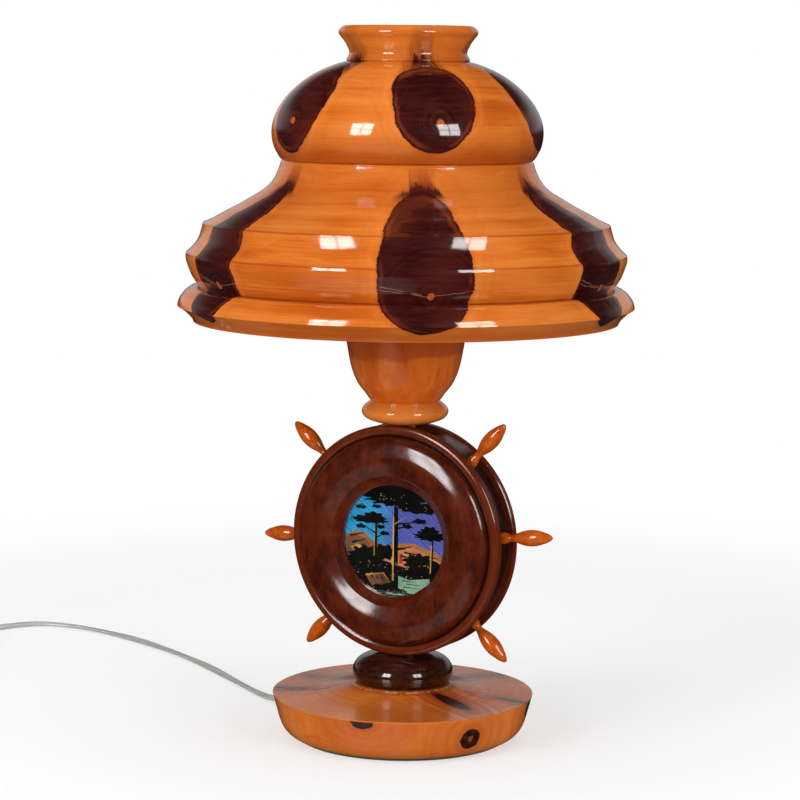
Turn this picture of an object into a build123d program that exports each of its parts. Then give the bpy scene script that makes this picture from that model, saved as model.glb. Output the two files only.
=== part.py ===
"""Turned-wood table lamp with a ship's-wheel stem: every subcomponent, in millimetres.

The lamp's axis is Z, the floor is Z = 0 and the picture in the wheel faces -Y.
Each function makes one sub-part where it stands, and the list at the end writes them.
"""

import math
import os

from build123d import *

# Base and the bun above it
FELT_T = 1.5
FELT_R = 73.0
BASE_FOOT_R = 74.4
BASE_RIM_R = 90.8
BASE_RIM_Z = 31.0
SEAT_R = 34.0
SEAT_Z = 38.6
RECESS_R = 34.0
RECESS_Z = 20.0
COUNTERBORE_R = 13.0
COUNTERBORE_Z = 30.0
BUN_R = 35.0
BUN_TOP_R = 10.0
BUN_TOP_Z = 59.0

# Wheel: two turned discs on a recessed core, with six handles in the gap
WHEEL_Z = 139.8
WHEEL_R = 80.4
WHEEL_GAP = 18.4
CORE_R = 76.0
RIM_T = 6.1
GROOVE_R = 73.3
CREST_R = 54.6
CREST_H = 14.4
PICTURE_R = 39.1
PICTURE_FACE = 6.8
GLASS_T = 1.8
PANEL_T = 0.6
BACKING_T = 1.4
GLASS_SUNK = 0.7
HANDLES = {
    "000": (5.1, 114.2),
    "045": (47.7, 114.5),
    "135": (139.4, 115.2),
    "180": (183.3, 112.4),
    "225": (226.8, 112.5),
    "315": (315.4, 112.4),
}
HANDLE_L = 31.0
TENON_R = 2.5
TENON_L = 12.0
POST_R = 7.3

# Stem tube and its nuts
TUBE_R = 3.5
TUBE_BORE_R = 2.9
TUBE_BOTTOM_Z = 24.0
TUBE_TOP_Z = 296.0
NUT_T = 4.0
NUT_R = 6.4
WASHER_T = 1.0
WASHER_R = 9.0

# Cup
CUP_BOTTOM_Z = 220.6
CUP_TOP_Z = 297.0
CUP_TOP_R = 42.5
CUP_BORE_R = 34.5
CUP_FLOOR_Z = 262.0

# Shade
SHADE_JOINT_Z = 401.4
SHADE_TOP_Z = 492.4
SHADE_BOTTOM_Z = 291.5
JOINT_R = 86.0
LEDGE_R = 70.0
NECK_BORE_R = 32.5
TONGUE_R = (80.0, 82.5)
TONGUE_H = 3.0

# Wire carrier that the shade rests on
HUB_T = 1.5
HUB_R = 15.0
ARM_ANGLES = (60, 180, 300)
ARM_R = 1.5
RING_R = 74.0
RING_WIRE_R = 1.6
PAD_R = 2.3
PAD_L = 12.0
REST_GAP = 0.3

# Lampholder and bulb
CAP_BOTTOM_Z = 286.0
CAP_TOP_Z = 303.0
SHELL_TOP_Z = 343.0
SHELL_R = 16.0
SHELL_T = 0.6
LINER_R = 15.2
LINER_T = 0.8
CORE_BODY_R = 14.2
CORE_BODY_Z = (297.0, 316.0)
SCREW_SHELL_R = 13.25
SCREW_SHELL_T = 0.5
SWITCH_Z = 309.0
SHAFT_R = 2.0
SHAFT_FIT = 0.06
KNOB_R = 6.0
KNOB_START = 22.0
KNOB_END = 38.0
BULB_R = 30.0
BULB_CAP_R = 12.9
BULB_CAP_L = 24.0
BULB_L = 105.0
BULB_FOOT_Z = 317.6
GLASS_WALL = 0.8

# Mains lead
LEAD_R = 2.4
LEAD_Z = 9.0
LEAD_BEND = 15.0
EXIT_ANGLE = 167.0
EXIT_R = 93.0
CORD_R = 2.7
CORD_FLOOR = 2.75
CORD_LENGTH = 1800.0
SPOTFACE_R = 80.0
COIL_CENTRE = (-455.5, 54.4)
COIL_IN_R = 20.4
COIL_OUT_R = 37.8
COIL_BASE_Z = 1.0
COIL_LAYERS = 2
COIL_END_ANGLE = 208.0
TAIL_L = 26.0
TIE_ANGLE = -32.0
TIE_T = 0.8
TIE_W = 9.0
PLUG_W = 25.0
PLUG_T = 13.6
PLUG_L = 38.0
PIN_R = 2.0
PIN_L = 19.0
PIN_PITCH = 19.0


def polar(radius, degrees, z=0.0):
    """Point at a radius and an angle about the lamp's axis."""
    return (
        radius * math.cos(math.radians(degrees)),
        radius * math.sin(math.radians(degrees)),
        z,
    )


def turned(*edges):
    """Solid turned about Z from a closed outline drawn as (radius, height)."""
    outline = make_face(sum((edge.edges() for edge in edges), ShapeList()))
    return revolve(Plane.XZ * outline, Axis.Z)


def tube(outer_r, inner_r, low, high):
    """Upright tube between two heights."""
    height = high - low
    ring = Cylinder(outer_r, height) - Cylinder(inner_r, height)
    return Pos(0, 0, low + height / 2) * ring


def rod(radius, low, high):
    """Upright rod between two heights."""
    return Pos(0, 0, (low + high) / 2) * Cylinder(radius, high - low)


def cylinder_between(start, end, radius):
    """Round bar from one point to another."""
    line = Line(start, end)
    return sweep(Plane(origin=start, z_dir=line % 0) * Circle(radius), path=line)


def round_wire(points, radii, radius):
    """Round wire along straight runs joined by tangent arcs."""
    path = FilletPolyline(*points, radius=radii)
    return sweep(Plane(origin=path @ 0, z_dir=path % 0) * Circle(radius), path=path)


# ---------------------------------------------------------------- base and bun


def base():
    """Dished base with the lead's recess, the stem bore and the lead's channel."""
    wall = Spline(
        (BASE_FOOT_R, FELT_T),
        (81.6, 5.6),
        (85.4, 11.8),
        (87.6, 19.0),
        (BASE_RIM_R, BASE_RIM_Z),
        tangents=((1, 0.25), (0.25, 1)),
    )
    dish = Spline(
        (BASE_RIM_R, BASE_RIM_Z),
        (72.0, 31.4),
        (55.0, 32.8),
        (43.0, 35.2),
        (SEAT_R, SEAT_Z),
        tangents=((-1, 0.0), (-0.8, 0.6)),
    )
    inside = Polyline(
        (SEAT_R, SEAT_Z),
        (TUBE_R, SEAT_Z),
        (TUBE_R, COUNTERBORE_Z),
        (COUNTERBORE_R, COUNTERBORE_Z),
        (COUNTERBORE_R, RECESS_Z),
        (RECESS_R, RECESS_Z),
        (RECESS_R, FELT_T),
        (BASE_FOOT_R, FELT_T),
    )
    body = turned(wall, dish, inside)
    outside = polar(99.0, EXIT_ANGLE, LEAD_Z)
    channel = cylinder_between(polar(20.0, EXIT_ANGLE, LEAD_Z), outside, 4.2)
    spotface = cylinder_between(polar(SPOTFACE_R, EXIT_ANGLE, LEAD_Z), outside, 6.4)
    return body - channel - spotface


def base_felt():
    """Felt disc glued under the base."""
    return rod(FELT_R, 0.0, FELT_T)


def bun():
    """Flattened ball between the base and the wheel."""
    side = Spline(
        (BUN_R - 0.3, 43.6),
        (BUN_R, 46.4),
        (34.2, 50.2),
        (31.6, 53.9),
        (27.6, 56.5),
        (21.0, 58.1),
        (BUN_TOP_R, BUN_TOP_Z),
        tangents=((0.1, 1), (-1, 0.03)),
    )
    foot = Spline(
        (31.0, SEAT_Z), (33.2, 40.6), (BUN_R - 0.5, 43.2), tangents=((0.9, 0.6), (0.35, 1))
    )
    edge = Line((BUN_R - 0.5, 43.2), (BUN_R - 0.3, 43.6))
    inside = Polyline(
        (BUN_TOP_R, BUN_TOP_Z), (TUBE_R, BUN_TOP_Z), (TUBE_R, SEAT_Z), (31.0, SEAT_Z)
    )
    return turned(foot, edge, side, inside)


# ----------------------------------------------------------------------- wheel


def at_wheel(shape):
    """Lifts a shape drawn about the origin to the wheel's centre."""
    return Pos(0, 0, WHEEL_Z) * shape


def disc_outline():
    """Outline of a wheel disc from its back to the lip of the picture, as (radius, step)."""
    rim = Polyline(
        (0, 0),
        (WHEEL_R - 0.6, 0),
        (WHEEL_R, 0.6),
        (WHEEL_R, RIM_T - 1.2),
        (WHEEL_R - 0.4, RIM_T - 0.4),
    )
    ring = Spline(
        (WHEEL_R - 0.4, RIM_T - 0.4),
        (WHEEL_R - 2.4, RIM_T + 0.7),
        (WHEEL_R - 5.0, RIM_T + 0.6),
        (GROOVE_R, RIM_T - 0.5),
        tangents=((-0.6, 0.8), (-0.9, -0.5)),
    )
    bulge = Spline(
        (GROOVE_R, RIM_T - 0.5),
        (72.5, RIM_T + 2.6),
        (70.2, RIM_T + 5.2),
        (64.8, RIM_T + 7.4),
        (CREST_R, CREST_H),
        (45.6, 11.6),
        (PICTURE_R + 0.8, PICTURE_FACE + 0.4),
        tangents=((-0.1, 1), (-1, -0.75)),
    )
    return rim, ring, bulge


def turned_disc(face, *outline):
    """Disc turned about the wheel's axis; face is -1 towards the front, 1 the back."""
    section = make_face(sum((edge.edges() for edge in outline), ShapeList()))
    disc = revolve(Pos(0, WHEEL_GAP / 2, 0) * section, Axis.Y)
    if face < 0:
        disc = mirror(disc, about=Plane.XZ)
    return at_wheel(disc)


def wheel_front_disc():
    """Front disc, with the pocket for the picture."""
    floor = PICTURE_FACE - GLASS_SUNK - GLASS_T - PANEL_T - BACKING_T
    pocket = Polyline(
        (PICTURE_R + 0.8, PICTURE_FACE + 0.4),
        (PICTURE_R, PICTURE_FACE),
        (PICTURE_R, floor),
        (0, floor),
        (0, 0),
    )
    return turned_disc(-1, *disc_outline(), pocket)


def wheel_back_disc():
    """Back disc, with a plain turned button where the front has its picture."""
    lip = PICTURE_R + 0.8
    button = Spline(
        (lip, PICTURE_FACE + 0.4),
        (PICTURE_R - 1.6, PICTURE_FACE - 0.6),
        (22.0, PICTURE_FACE + 0.5),
        (0, PICTURE_FACE + 1.0),
        tangents=((-0.6, -0.8), (-1, 0)),
    )
    return turned_disc(1, *disc_outline(), button, Line((0, PICTURE_FACE + 1.0), (0, 0)))


def wheel_core():
    """Core between the discs, bored for the stem and for the handles' tenons."""
    core = Rot(90, 0, 0) * Cylinder(CORE_R, WHEEL_GAP)
    core -= Cylinder(TUBE_R, 4 * CORE_R)
    for angle, _ in HANDLES.values():
        core -= handle_tenon(angle)
    return at_wheel(core)


def handle_tenon(angle):
    """Tenon of one handle, in the core."""
    centre = CORE_R - TENON_L / 2
    return Rot(0, -angle, 0) * Pos(centre, 0, 0) * Rot(0, 90, 0) * Cylinder(TENON_R, TENON_L)


def handle(angle, tip):
    """One turned handle of the wheel, with its foot on the core and its tenon."""
    waist = tip - HANDLE_L
    foot_r = math.sqrt(CORE_R**2 - 4.1**2)
    grip = Spline(
        (foot_r, 4.1),
        ((foot_r + waist) / 2, 3.7),
        (waist, 2.5),
        (waist + 4.0, 3.1),
        (waist + 8.0, 4.5),
        (waist + 14.5, 5.6),
        (waist + 21.4, 4.9),
        (waist + 26.0, 3.5),
        (waist + 28.8, 2.3),
        tangents=((1, 0.05), (1, -0.5)),
    )
    nose = Bezier((waist + 28.8, 2.3), (tip - 0.8, 1.6), (tip, 0.9), (tip, 0))
    foot = Polyline((tip, 0), (foot_r, 0), (foot_r, 4.1))
    section = make_face(grip.edges() + nose.edges() + foot.edges())
    turned_grip = revolve(section, Axis.X) - Rot(90, 0, 0) * Cylinder(CORE_R, WHEEL_GAP)
    return at_wheel(Rot(0, -angle, 0) * turned_grip + handle_tenon(angle))


def post(top, bottom):
    """Round post between the discs, from the core to the cup or the bun."""
    dowel = rod(POST_R, bottom, top)
    dowel -= at_wheel(Rot(90, 0, 0) * Cylinder(CORE_R, 2 * WHEEL_GAP))
    return dowel - rod(TUBE_R, bottom - 1, top + 1)


def picture_layer(radius, front, thickness):
    """One layer of the picture, its front face a step away from the front disc's back."""
    offset = WHEEL_GAP / 2 + front - thickness / 2
    return at_wheel(Pos(0, -offset, 0) * Rot(90, 0, 0) * Cylinder(radius, thickness))


# ------------------------------------------------------------------------- cup


def cup():
    """Turned cup on the wheel, hollow for the lampholder."""
    foot = Spline(
        (15.0, CUP_BOTTOM_Z),
        (23.4, 222.6),
        (28.6, 225.6),
        (30.0, 229.0),
        (27.8, 233.2),
        (23.9, 236.6),
        tangents=((1, 0.1), (-0.8, 0.9)),
    )
    bowl = Spline(
        (23.9, 236.6),
        (27.2, 241.0),
        (31.4, 246.2),
        (35.0, 252.8),
        (37.4, 259.6),
        (39.4, 269.0),
        (41.4, 282.0),
        (CUP_TOP_R, CUP_TOP_Z - 1.5),
        tangents=((0.8, 0.7), (0.1, 1)),
    )
    inside = Polyline(
        (CUP_TOP_R, CUP_TOP_Z - 1.5),
        (CUP_TOP_R - 1.5, CUP_TOP_Z),
        (CUP_BORE_R + 0.5, CUP_TOP_Z),
        (CUP_BORE_R, CUP_TOP_Z - 0.5),
        (32.0, 276.0),
        (26.0, CUP_FLOOR_Z),
        (TUBE_R, CUP_FLOOR_Z),
        (TUBE_R, CUP_BOTTOM_Z),
        (15.0, CUP_BOTTOM_Z),
    )
    return turned(foot, bowl, inside)


# ------------------------------------------------------------------ stem tube


def washer(low):
    """Flat washer on the stem tube."""
    return tube(WASHER_R, TUBE_R, low, low + WASHER_T)


def nut(low):
    """Hexagonal nut on the stem tube."""
    blank = extrude(RegularPolygon(NUT_R, 6), NUT_T)
    blank &= turned(
        Polyline((0, 0), (5.6, 0), (6.6, 0.6), (6.6, NUT_T - 0.6), (5.6, NUT_T), (0, NUT_T), (0, 0))
    )
    return Pos(0, 0, low) * (blank - rod(TUBE_R, -1, NUT_T + 1))


# ---------------------------------------------------------------- the carrier


def shade_carrier():
    """Hub under the lampholder, three bent arms and the ring that bears the shade."""
    hub = tube(HUB_R, TUBE_R, CAP_BOTTOM_Z - HUB_T, CAP_BOTTOM_Z)
    ring_z = SHADE_JOINT_Z - REST_GAP - PAD_R
    ring = Pos(0, 0, ring_z) * Torus(RING_R, RING_WIRE_R)
    carrier = hub + ring
    hub_z = CAP_BOTTOM_Z - HUB_T / 2
    for angle in ARM_ANGLES:
        corners = [
            polar(11.0, angle, hub_z),
            polar(27.0, angle, hub_z),
            polar(29.6, angle, 304.0),
            polar(RING_R, angle, ring_z),
        ]
        carrier += round_wire(corners, [7.0, 14.0], ARM_R)
    return carrier


def carrier_pad(angle):
    """Soft sleeve on the ring, under the shade's ledge."""
    ring_z = SHADE_JOINT_Z - REST_GAP - PAD_R
    sweep_angle = math.degrees(PAD_L / RING_R)
    section = Plane.XZ * (Pos(RING_R, ring_z) * (Circle(PAD_R) - Circle(RING_WIRE_R)))
    return Rot(0, 0, angle - sweep_angle / 2) * revolve(section, Axis.Z, sweep_angle)


# -------------------------------------------------------------------- shade


def shade_dome():
    """Upper part of the shade: lip, neck and dome, with the ledge inside its foot."""
    lip = Spline(
        (NECK_BORE_R + 6.0, SHADE_TOP_Z),
        (44.2, SHADE_TOP_Z - 0.4),
        (47.5, 488.4),
        (44.3, 482.8),
        (41.1, 477.4),
        (40.2, 473.2),
        (42.2, 469.2),
        (47.2, 467.0),
        tangents=((1, 0), (1, -0.25)),
    )
    dome = Spline(
        (47.2, 467.0),
        (61.2, 461.2),
        (74.1, 452.6),
        (82.8, 444.0),
        (89.4, 433.8),
        (92.6, 423.0),
        (92.5, 416.0),
        (90.7, 409.2),
        (JOINT_R + 1.0, 402.6),
        tangents=((1, -0.35), (-0.6, -1)),
    )
    foot = Polyline(
        (JOINT_R + 1.0, 402.6),
        (JOINT_R - 0.6, SHADE_JOINT_Z),
        (TONGUE_R[1], SHADE_JOINT_Z),
        (TONGUE_R[1], SHADE_JOINT_Z + TONGUE_H),
        (TONGUE_R[0], SHADE_JOINT_Z + TONGUE_H),
        (TONGUE_R[0], SHADE_JOINT_Z),
        (LEDGE_R, SHADE_JOINT_Z),
        (LEDGE_R, SHADE_JOINT_Z + 4.6),
        (78.5, SHADE_JOINT_Z + 7.0),
    )
    inside = Spline(
        (78.5, SHADE_JOINT_Z + 7.0),
        (83.6, 417.0),
        (82.6, 427.0),
        (75.0, 441.0),
        (60.0, 453.2),
        (44.0, 459.4),
        (NECK_BORE_R + 1.0, 462.6),
        tangents=((0.5, 1), (-1, 0.5)),
    )
    bore = Polyline(
        (NECK_BORE_R + 1.0, 462.6),
        (NECK_BORE_R, 464.0),
        (NECK_BORE_R, 486.0),
        (NECK_BORE_R + 6.0, SHADE_TOP_Z),
    )
    return turned(lip, dome, foot, inside, bore)


def shade_skirt():
    """Lower part of the shade: concave flare, two ridges and the flange."""
    flare = Spline(
        (JOINT_R + 0.4, 400.0),
        (88.4, 394.0),
        (92.0, 387.2),
        (98.4, 380.8),
        (106.6, 375.8),
        (115.3, 370.6),
        (125.0, 365.6),
        (139.5, 358.2),
        tangents=((0.25, -1), (1, -0.4)),
    )
    cove = Spline(
        (139.5, 358.2),
        (140.6, 353.2),
        (142.3, 348.2),
        (145.8, 343.0),
        (150.8, 338.2),
        tangents=((0.12, -1), (1, -0.8)),
    )
    waist = Spline(
        (150.8, 338.2),
        (151.15, 336.2),
        (150.2, 331.0),
        (147.4, 323.6),
        (142.4, 315.4),
        tangents=((0.32, -1), (-0.6, -1)),
    )
    flange = Spline(
        (142.4, 315.4),
        (149.4, 313.6),
        (154.2, 308.8),
        (156.8, 302.2),
        tangents=((1, 0.1), (0.15, -1)),
    )
    bevel = Spline(
        (156.8, 302.2),
        (151.4, 298.4),
        (148.0, 295.0),
        (146.0, SHADE_BOTTOM_Z),
        tangents=((-1, -0.5), (-0.25, -1)),
    )
    rim = Line((146.0, SHADE_BOTTOM_Z), (138.6, SHADE_BOTTOM_Z))
    inside = Spline(
        (138.6, SHADE_BOTTOM_Z),
        (139.4, 306.0),
        (138.8, 322.0),
        (136.0, 336.0),
        (130.0, 346.8),
        (119.0, 355.4),
        (106.0, 363.4),
        (94.0, 371.0),
        (85.4, 379.4),
        (80.4, 390.0),
        (78.5, SHADE_JOINT_Z),
        tangents=((0.05, 1), (-0.05, 1)),
    )
    joint = Polyline(
        (78.5, SHADE_JOINT_Z),
        (TONGUE_R[0], SHADE_JOINT_Z),
        (TONGUE_R[0], SHADE_JOINT_Z + TONGUE_H),
        (TONGUE_R[1], SHADE_JOINT_Z + TONGUE_H),
        (TONGUE_R[1], SHADE_JOINT_Z),
        (JOINT_R - 0.6, SHADE_JOINT_Z),
        (JOINT_R + 0.4, 400.0),
    )
    return turned(flare, cove, waist, flange, bevel, rim, inside, joint)


# ----------------------------------------------------------------- lampholder


def shaft_hole(radius):
    """Radial hole for the switch's shaft."""
    return Pos(15.0, 0, SWITCH_Z) * Rot(0, 90, 0) * Cylinder(radius, 30.0)


def socket_cap():
    """Pressed cap of the lampholder, screwed on the stem tube."""
    return turned(
        Polyline(
            (TUBE_R, CAP_BOTTOM_Z),
            (8.0, CAP_BOTTOM_Z),
            (13.4, CAP_BOTTOM_Z + 2.4),
            (SHELL_R + 0.7, CAP_BOTTOM_Z + 8.0),
            (SHELL_R + 0.7, CAP_TOP_Z - 1.4),
            (SHELL_R + 1.1, CAP_TOP_Z - 0.7),
            (SHELL_R + 0.7, CAP_TOP_Z),
            (SHELL_R, CAP_TOP_Z),
            (SHELL_R, CAP_BOTTOM_Z + 8.4),
            (12.8, CAP_BOTTOM_Z + 3.4),
            (7.8, CAP_BOTTOM_Z + 1.0),
            (TUBE_R, CAP_BOTTOM_Z + 1.0),
            (TUBE_R, CAP_BOTTOM_Z),
        )
    )


def socket_shell():
    """Brass shell, beaded at its mouth, with the hole for the switch's shaft."""
    low = CAP_BOTTOM_Z + 12.0
    shell = turned(
        Polyline(
            (SHELL_R - SHELL_T, low),
            (SHELL_R, low),
            (SHELL_R, SHELL_TOP_Z - 4.0),
            (SHELL_R + 0.7, SHELL_TOP_Z - 3.2),
            (SHELL_R, SHELL_TOP_Z - 2.4),
            (SHELL_R, SHELL_TOP_Z),
            (SHELL_R - SHELL_T, SHELL_TOP_Z),
            (SHELL_R - SHELL_T, low),
        )
    )
    return shell - shaft_hole(3.0)


def socket_liner():
    """Insulating sleeve inside the shell."""
    return tube(LINER_R, LINER_R - LINER_T, CORE_BODY_Z[0] + 2, SHELL_TOP_Z - 1.0) - shaft_hole(3.0)


def socket_core():
    """Moulded body that holds the switch, with the shaft's bearing and its pocket."""
    body = rod(CORE_BODY_R, *CORE_BODY_Z)
    body -= shaft_hole(SHAFT_R + SHAFT_FIT)
    pocket_l = 3.0
    body -= Pos(5.5, 0, SWITCH_Z) * Rot(0, 90, 0) * Cylinder(3.8, pocket_l)
    return body - Pos(0, 0, CORE_BODY_Z[1]) * Box(7.0, 7.0, 1.2)


def screw_shell():
    """Threaded brass shell that takes the bulb's cap."""
    low = CORE_BODY_Z[1]
    ring = tube(SCREW_SHELL_R + SCREW_SHELL_T, SCREW_SHELL_R, low, low + 25.0)
    floor = tube(SCREW_SHELL_R + SCREW_SHELL_T, 6.0, low, low + 0.6)
    return ring + floor


def centre_contact():
    """Sprung centre contact, under the bulb's foot."""
    floor_z = CORE_BODY_Z[1] - 0.6
    leaf = Pos(0, 0, floor_z + 0.3) * Box(6.6, 4.0, 0.6)
    return leaf + rod(1.6, floor_z + 0.6, BULB_FOOT_Z - 0.3)


def terminal_screw(side):
    """Terminal screw under the moulded body, where a conductor ends."""
    z = CORE_BODY_Z[0]
    return Pos(0, side * 8.0, 0) * (rod(2.2, z - 1.8, z) - Pos(0, 0, z - 1.8) * Box(5.0, 0.6, 1.2))


def switch_shaft():
    """Shaft of the switch, with the collar that keeps it in the moulded body."""
    start = 4.4
    length = KNOB_START + 8 - start
    shaft = Pos(start + length / 2, 0, 0) * Rot(0, 90, 0) * Cylinder(SHAFT_R, length)
    collar = Pos(5.5, 0, 0) * Rot(0, 90, 0) * Cylinder(3.3, 2.0)
    return Pos(0, 0, SWITCH_Z) * (shaft + collar)


def switch_knob():
    """Fluted knob that is turned to switch the lamp."""
    length = KNOB_END - KNOB_START
    knob = Cylinder(KNOB_R, length)
    knob = chamfer(knob.edges().group_by(Axis.Z)[-1], 1.2)
    for angle in range(0, 360, 30):
        knob -= Rot(0, 0, angle) * Pos(KNOB_R + 0.5, 0, 2.0) * Cylinder(1.0, length)
    knob -= Pos(0, 0, -length / 2 + 4.0) * Cylinder(SHAFT_R, 8.0)
    return Pos((KNOB_START + KNOB_END) / 2, 0, SWITCH_Z) * Rot(0, 90, 0) * knob


# ----------------------------------------------------------------------- bulb


def bulb_outline(inset):
    """Half outline of the bulb's glass, from its neck to its crown."""
    crown_z = BULB_FOOT_Z + BULB_L - inset
    middle_z = BULB_FOOT_Z + BULB_L - BULB_R
    return Spline(
        (BULB_CAP_R - 0.6 - inset, BULB_FOOT_Z + BULB_CAP_L + 1.5),
        (15.6 - inset, BULB_FOOT_Z + 36.0),
        (23.4 - inset, BULB_FOOT_Z + 54.0),
        (BULB_R - inset, middle_z),
        (0.72 * (BULB_R - inset), middle_z + 0.694 * (BULB_R - inset)),
        (0, crown_z),
        tangents=((0, 1), (-1, 0)),
    )


def bulb_glass():
    """Blown glass envelope."""
    outer = bulb_outline(0.0)
    inner = bulb_outline(GLASS_WALL)
    return turned(outer, inner, Line(outer @ 0, inner @ 0), Line(outer @ 1, inner @ 1))


def bulb_cap():
    """Screw cap of the bulb, closed by its insulator."""
    low = BULB_FOOT_Z + 3.4
    high = BULB_FOOT_Z + BULB_CAP_L + 1.5
    wall = 0.4
    return turned(
        Polyline(
            (8.0, low),
            (BULB_CAP_R, low + 2.4),
            (BULB_CAP_R, high),
            (BULB_CAP_R - wall, high),
            (BULB_CAP_R - wall, low + 2.6),
            (8.0, low + wall),
            (8.0, low),
        )
    )


def bulb_insulator():
    """Glass insulator between the cap and the centre contact."""
    return turned(
        Polyline(
            (3.6, BULB_FOOT_Z + 1.2),
            (5.2, BULB_FOOT_Z + 1.4),
            (8.0, BULB_FOOT_Z + 3.4),
            (8.0, BULB_FOOT_Z + 3.8),
            (0, BULB_FOOT_Z + 3.8),
            (0, BULB_FOOT_Z + 1.2),
            (3.6, BULB_FOOT_Z + 1.2),
        )
    )


def bulb_contact():
    """Centre contact of the bulb."""
    return rod(3.6, BULB_FOOT_Z, BULB_FOOT_Z + 1.2)


def bulb_mount():
    """Glass stem that carries the filament."""
    low = BULB_FOOT_Z + BULB_CAP_L + 1.5
    flare = turned(
        Polyline(
            (0, low),
            (BULB_CAP_R - 0.6 - GLASS_WALL, low),
            (8.0, low + 3.0),
            (4.0, low + 9.0),
            (3.0, low + 24.0),
            (0, low + 26.0),
            (0, low),
        )
    )
    for side in (-1, 1):
        flare += cylinder_between((side * 2.0, 0, low + 20.0), (side * 9.0, 0, low + 46.0), 0.4)
    return flare


def bulb_filament():
    """Filament between the lead wires."""
    z = BULB_FOOT_Z + BULB_CAP_L + 48.4
    return Pos(0, 0, z) * Rot(0, 90, 0) * Cylinder(0.7, 19.0)


# ----------------------------------------------------------------- mains lead

# Corner points of the free cord from the grommet to its coil, each (x, y, z)
CORD_ROUTE = (
    (-90.62, 20.92, 9.0),
    (-103.77, 23.96, 9.0),
    (-128.8, 35.7, CORD_FLOOR),
    (-171.6, 65.0, CORD_FLOOR),
    (-234.0, 110.0, CORD_FLOOR),
    (-299.3, 145.5, CORD_FLOOR),
    (-357.1, 166.9, CORD_FLOOR),
    (-404.8, 175.5, CORD_FLOOR),
    (-437.2, 166.2, CORD_FLOOR),
    (-452.4, 130.9, CORD_FLOOR),
    (-469.3, 101.0, CORD_FLOOR),
    (-486.6, 75.9, CORD_FLOOR),
)


def arc_radii(points):
    """Radius for each corner: 0.45 of its shorter run over the tangent of half its turn."""
    corners = [Vector(*point) for point in points]
    radii = []
    for before, here, after in zip(corners, corners[1:], corners[2:]):
        run_in = here - before
        run_out = after - here
        half_turn = math.radians(run_in.get_angle(run_out)) / 2
        radii.append(0.45 * min(run_in.length, run_out.length) / math.tan(half_turn))
    return radii


def inner_lead():
    """Lead inside the lamp, from the lampholder down the stem and out of the base."""
    corners = [(0, 0, CORE_BODY_Z[0]), (0, 0, LEAD_Z), polar(EXIT_R, EXIT_ANGLE, LEAD_Z)]
    return round_wire(corners, [LEAD_BEND], LEAD_R)


def cord_grommet():
    """Tapered strain relief where the lead leaves the base."""
    sleeve = turned(
        Polyline(
            (LEAD_R, 0),
            (4.2, 0),
            (4.2, 14.0),
            (6.2, 14.0),
            (6.2, 15.6),
            (4.6, 16.6),
            (3.4, 27.0),
            (LEAD_R, 27.0),
            (LEAD_R, 0),
        )
    )
    start = polar(EXIT_R - 27.0, EXIT_ANGLE, LEAD_Z)
    return Plane(origin=start, x_dir=(0, 0, 1), z_dir=polar(1.0, EXIT_ANGLE)) * sleeve


def coil_section(grow, low, high):
    """Square section of the coil's bundle, grown all round."""
    width = COIL_OUT_R - COIL_IN_R + 2 * (CORD_R + grow)
    middle = ((COIL_IN_R + COIL_OUT_R) / 2, (low + high) / 2)
    return Pos(*middle) * RectangleRounded(width, high - low, 2.0 + grow)


def at_coil(shape):
    """Moves a shape drawn about the origin to the coil's centre."""
    return Pos(*COIL_CENTRE) * shape


def cord_coil():
    """Outer shape of the neat coil that takes up the lead's spare length."""
    top = COIL_BASE_Z + COIL_LAYERS * 2 * CORD_R
    return at_coil(revolve(Plane.XZ * coil_section(0.0, COIL_BASE_Z, top), Axis.Z))


def cord_run(coil):
    """Free cord on the floor, from the grommet to the coil."""
    radii = arc_radii(CORD_ROUTE)
    print("cord radii", [round(radius, 1) for radius in radii])
    run = round_wire(CORD_ROUTE, radii, CORD_R)
    length = FilletPolyline(*CORD_ROUTE, radius=radii).length
    turns_end = COIL_END_ANGLE - math.degrees(
        math.atan2(CORD_ROUTE[-1][1] - COIL_CENTRE[1], CORD_ROUTE[-1][0] - COIL_CENTRE[0])
    )
    turns = 7 + turns_end / 360
    coiled = turns * math.pi * (COIL_IN_R + COIL_OUT_R)
    print("run", round(length, 1), "coiled", round(coiled, 1), "of", CORD_LENGTH)
    print("run volume", round(run.volume, 1), "expected", round(length * math.pi * CORD_R**2, 1))
    return run - coil


def tail_frame():
    """Plane at the start of the tail, its normal along the cord."""
    x, y, _ = polar(COIL_OUT_R, COIL_END_ANGLE)
    start = (COIL_CENTRE[0] + x, COIL_CENTRE[1] + y, PLUG_T / 2 + 0.6)
    return Plane(origin=start, x_dir=polar(1.0, COIL_END_ANGLE), z_dir=polar(1.0, COIL_END_ANGLE + 90))


def cord_tail(coil):
    """Last stretch of the cord, from the coil to the plug."""
    return tail_frame() * rod(CORD_R, 0.0, TAIL_L) - coil


def coil_tie():
    """Band that holds the coil's turns together."""
    top = COIL_BASE_Z + COIL_LAYERS * 2 * CORD_R
    outer = coil_section(TIE_T, COIL_BASE_Z - TIE_T, top + TIE_T)
    inner = coil_section(0.0, COIL_BASE_Z, top)
    middle_r = (COIL_IN_R + COIL_OUT_R) / 2
    band = revolve(Plane.XZ * (outer - inner), Axis.Z, math.degrees(TIE_W / middle_r))
    return at_coil(Rot(0, 0, TIE_ANGLE) * band)


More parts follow.
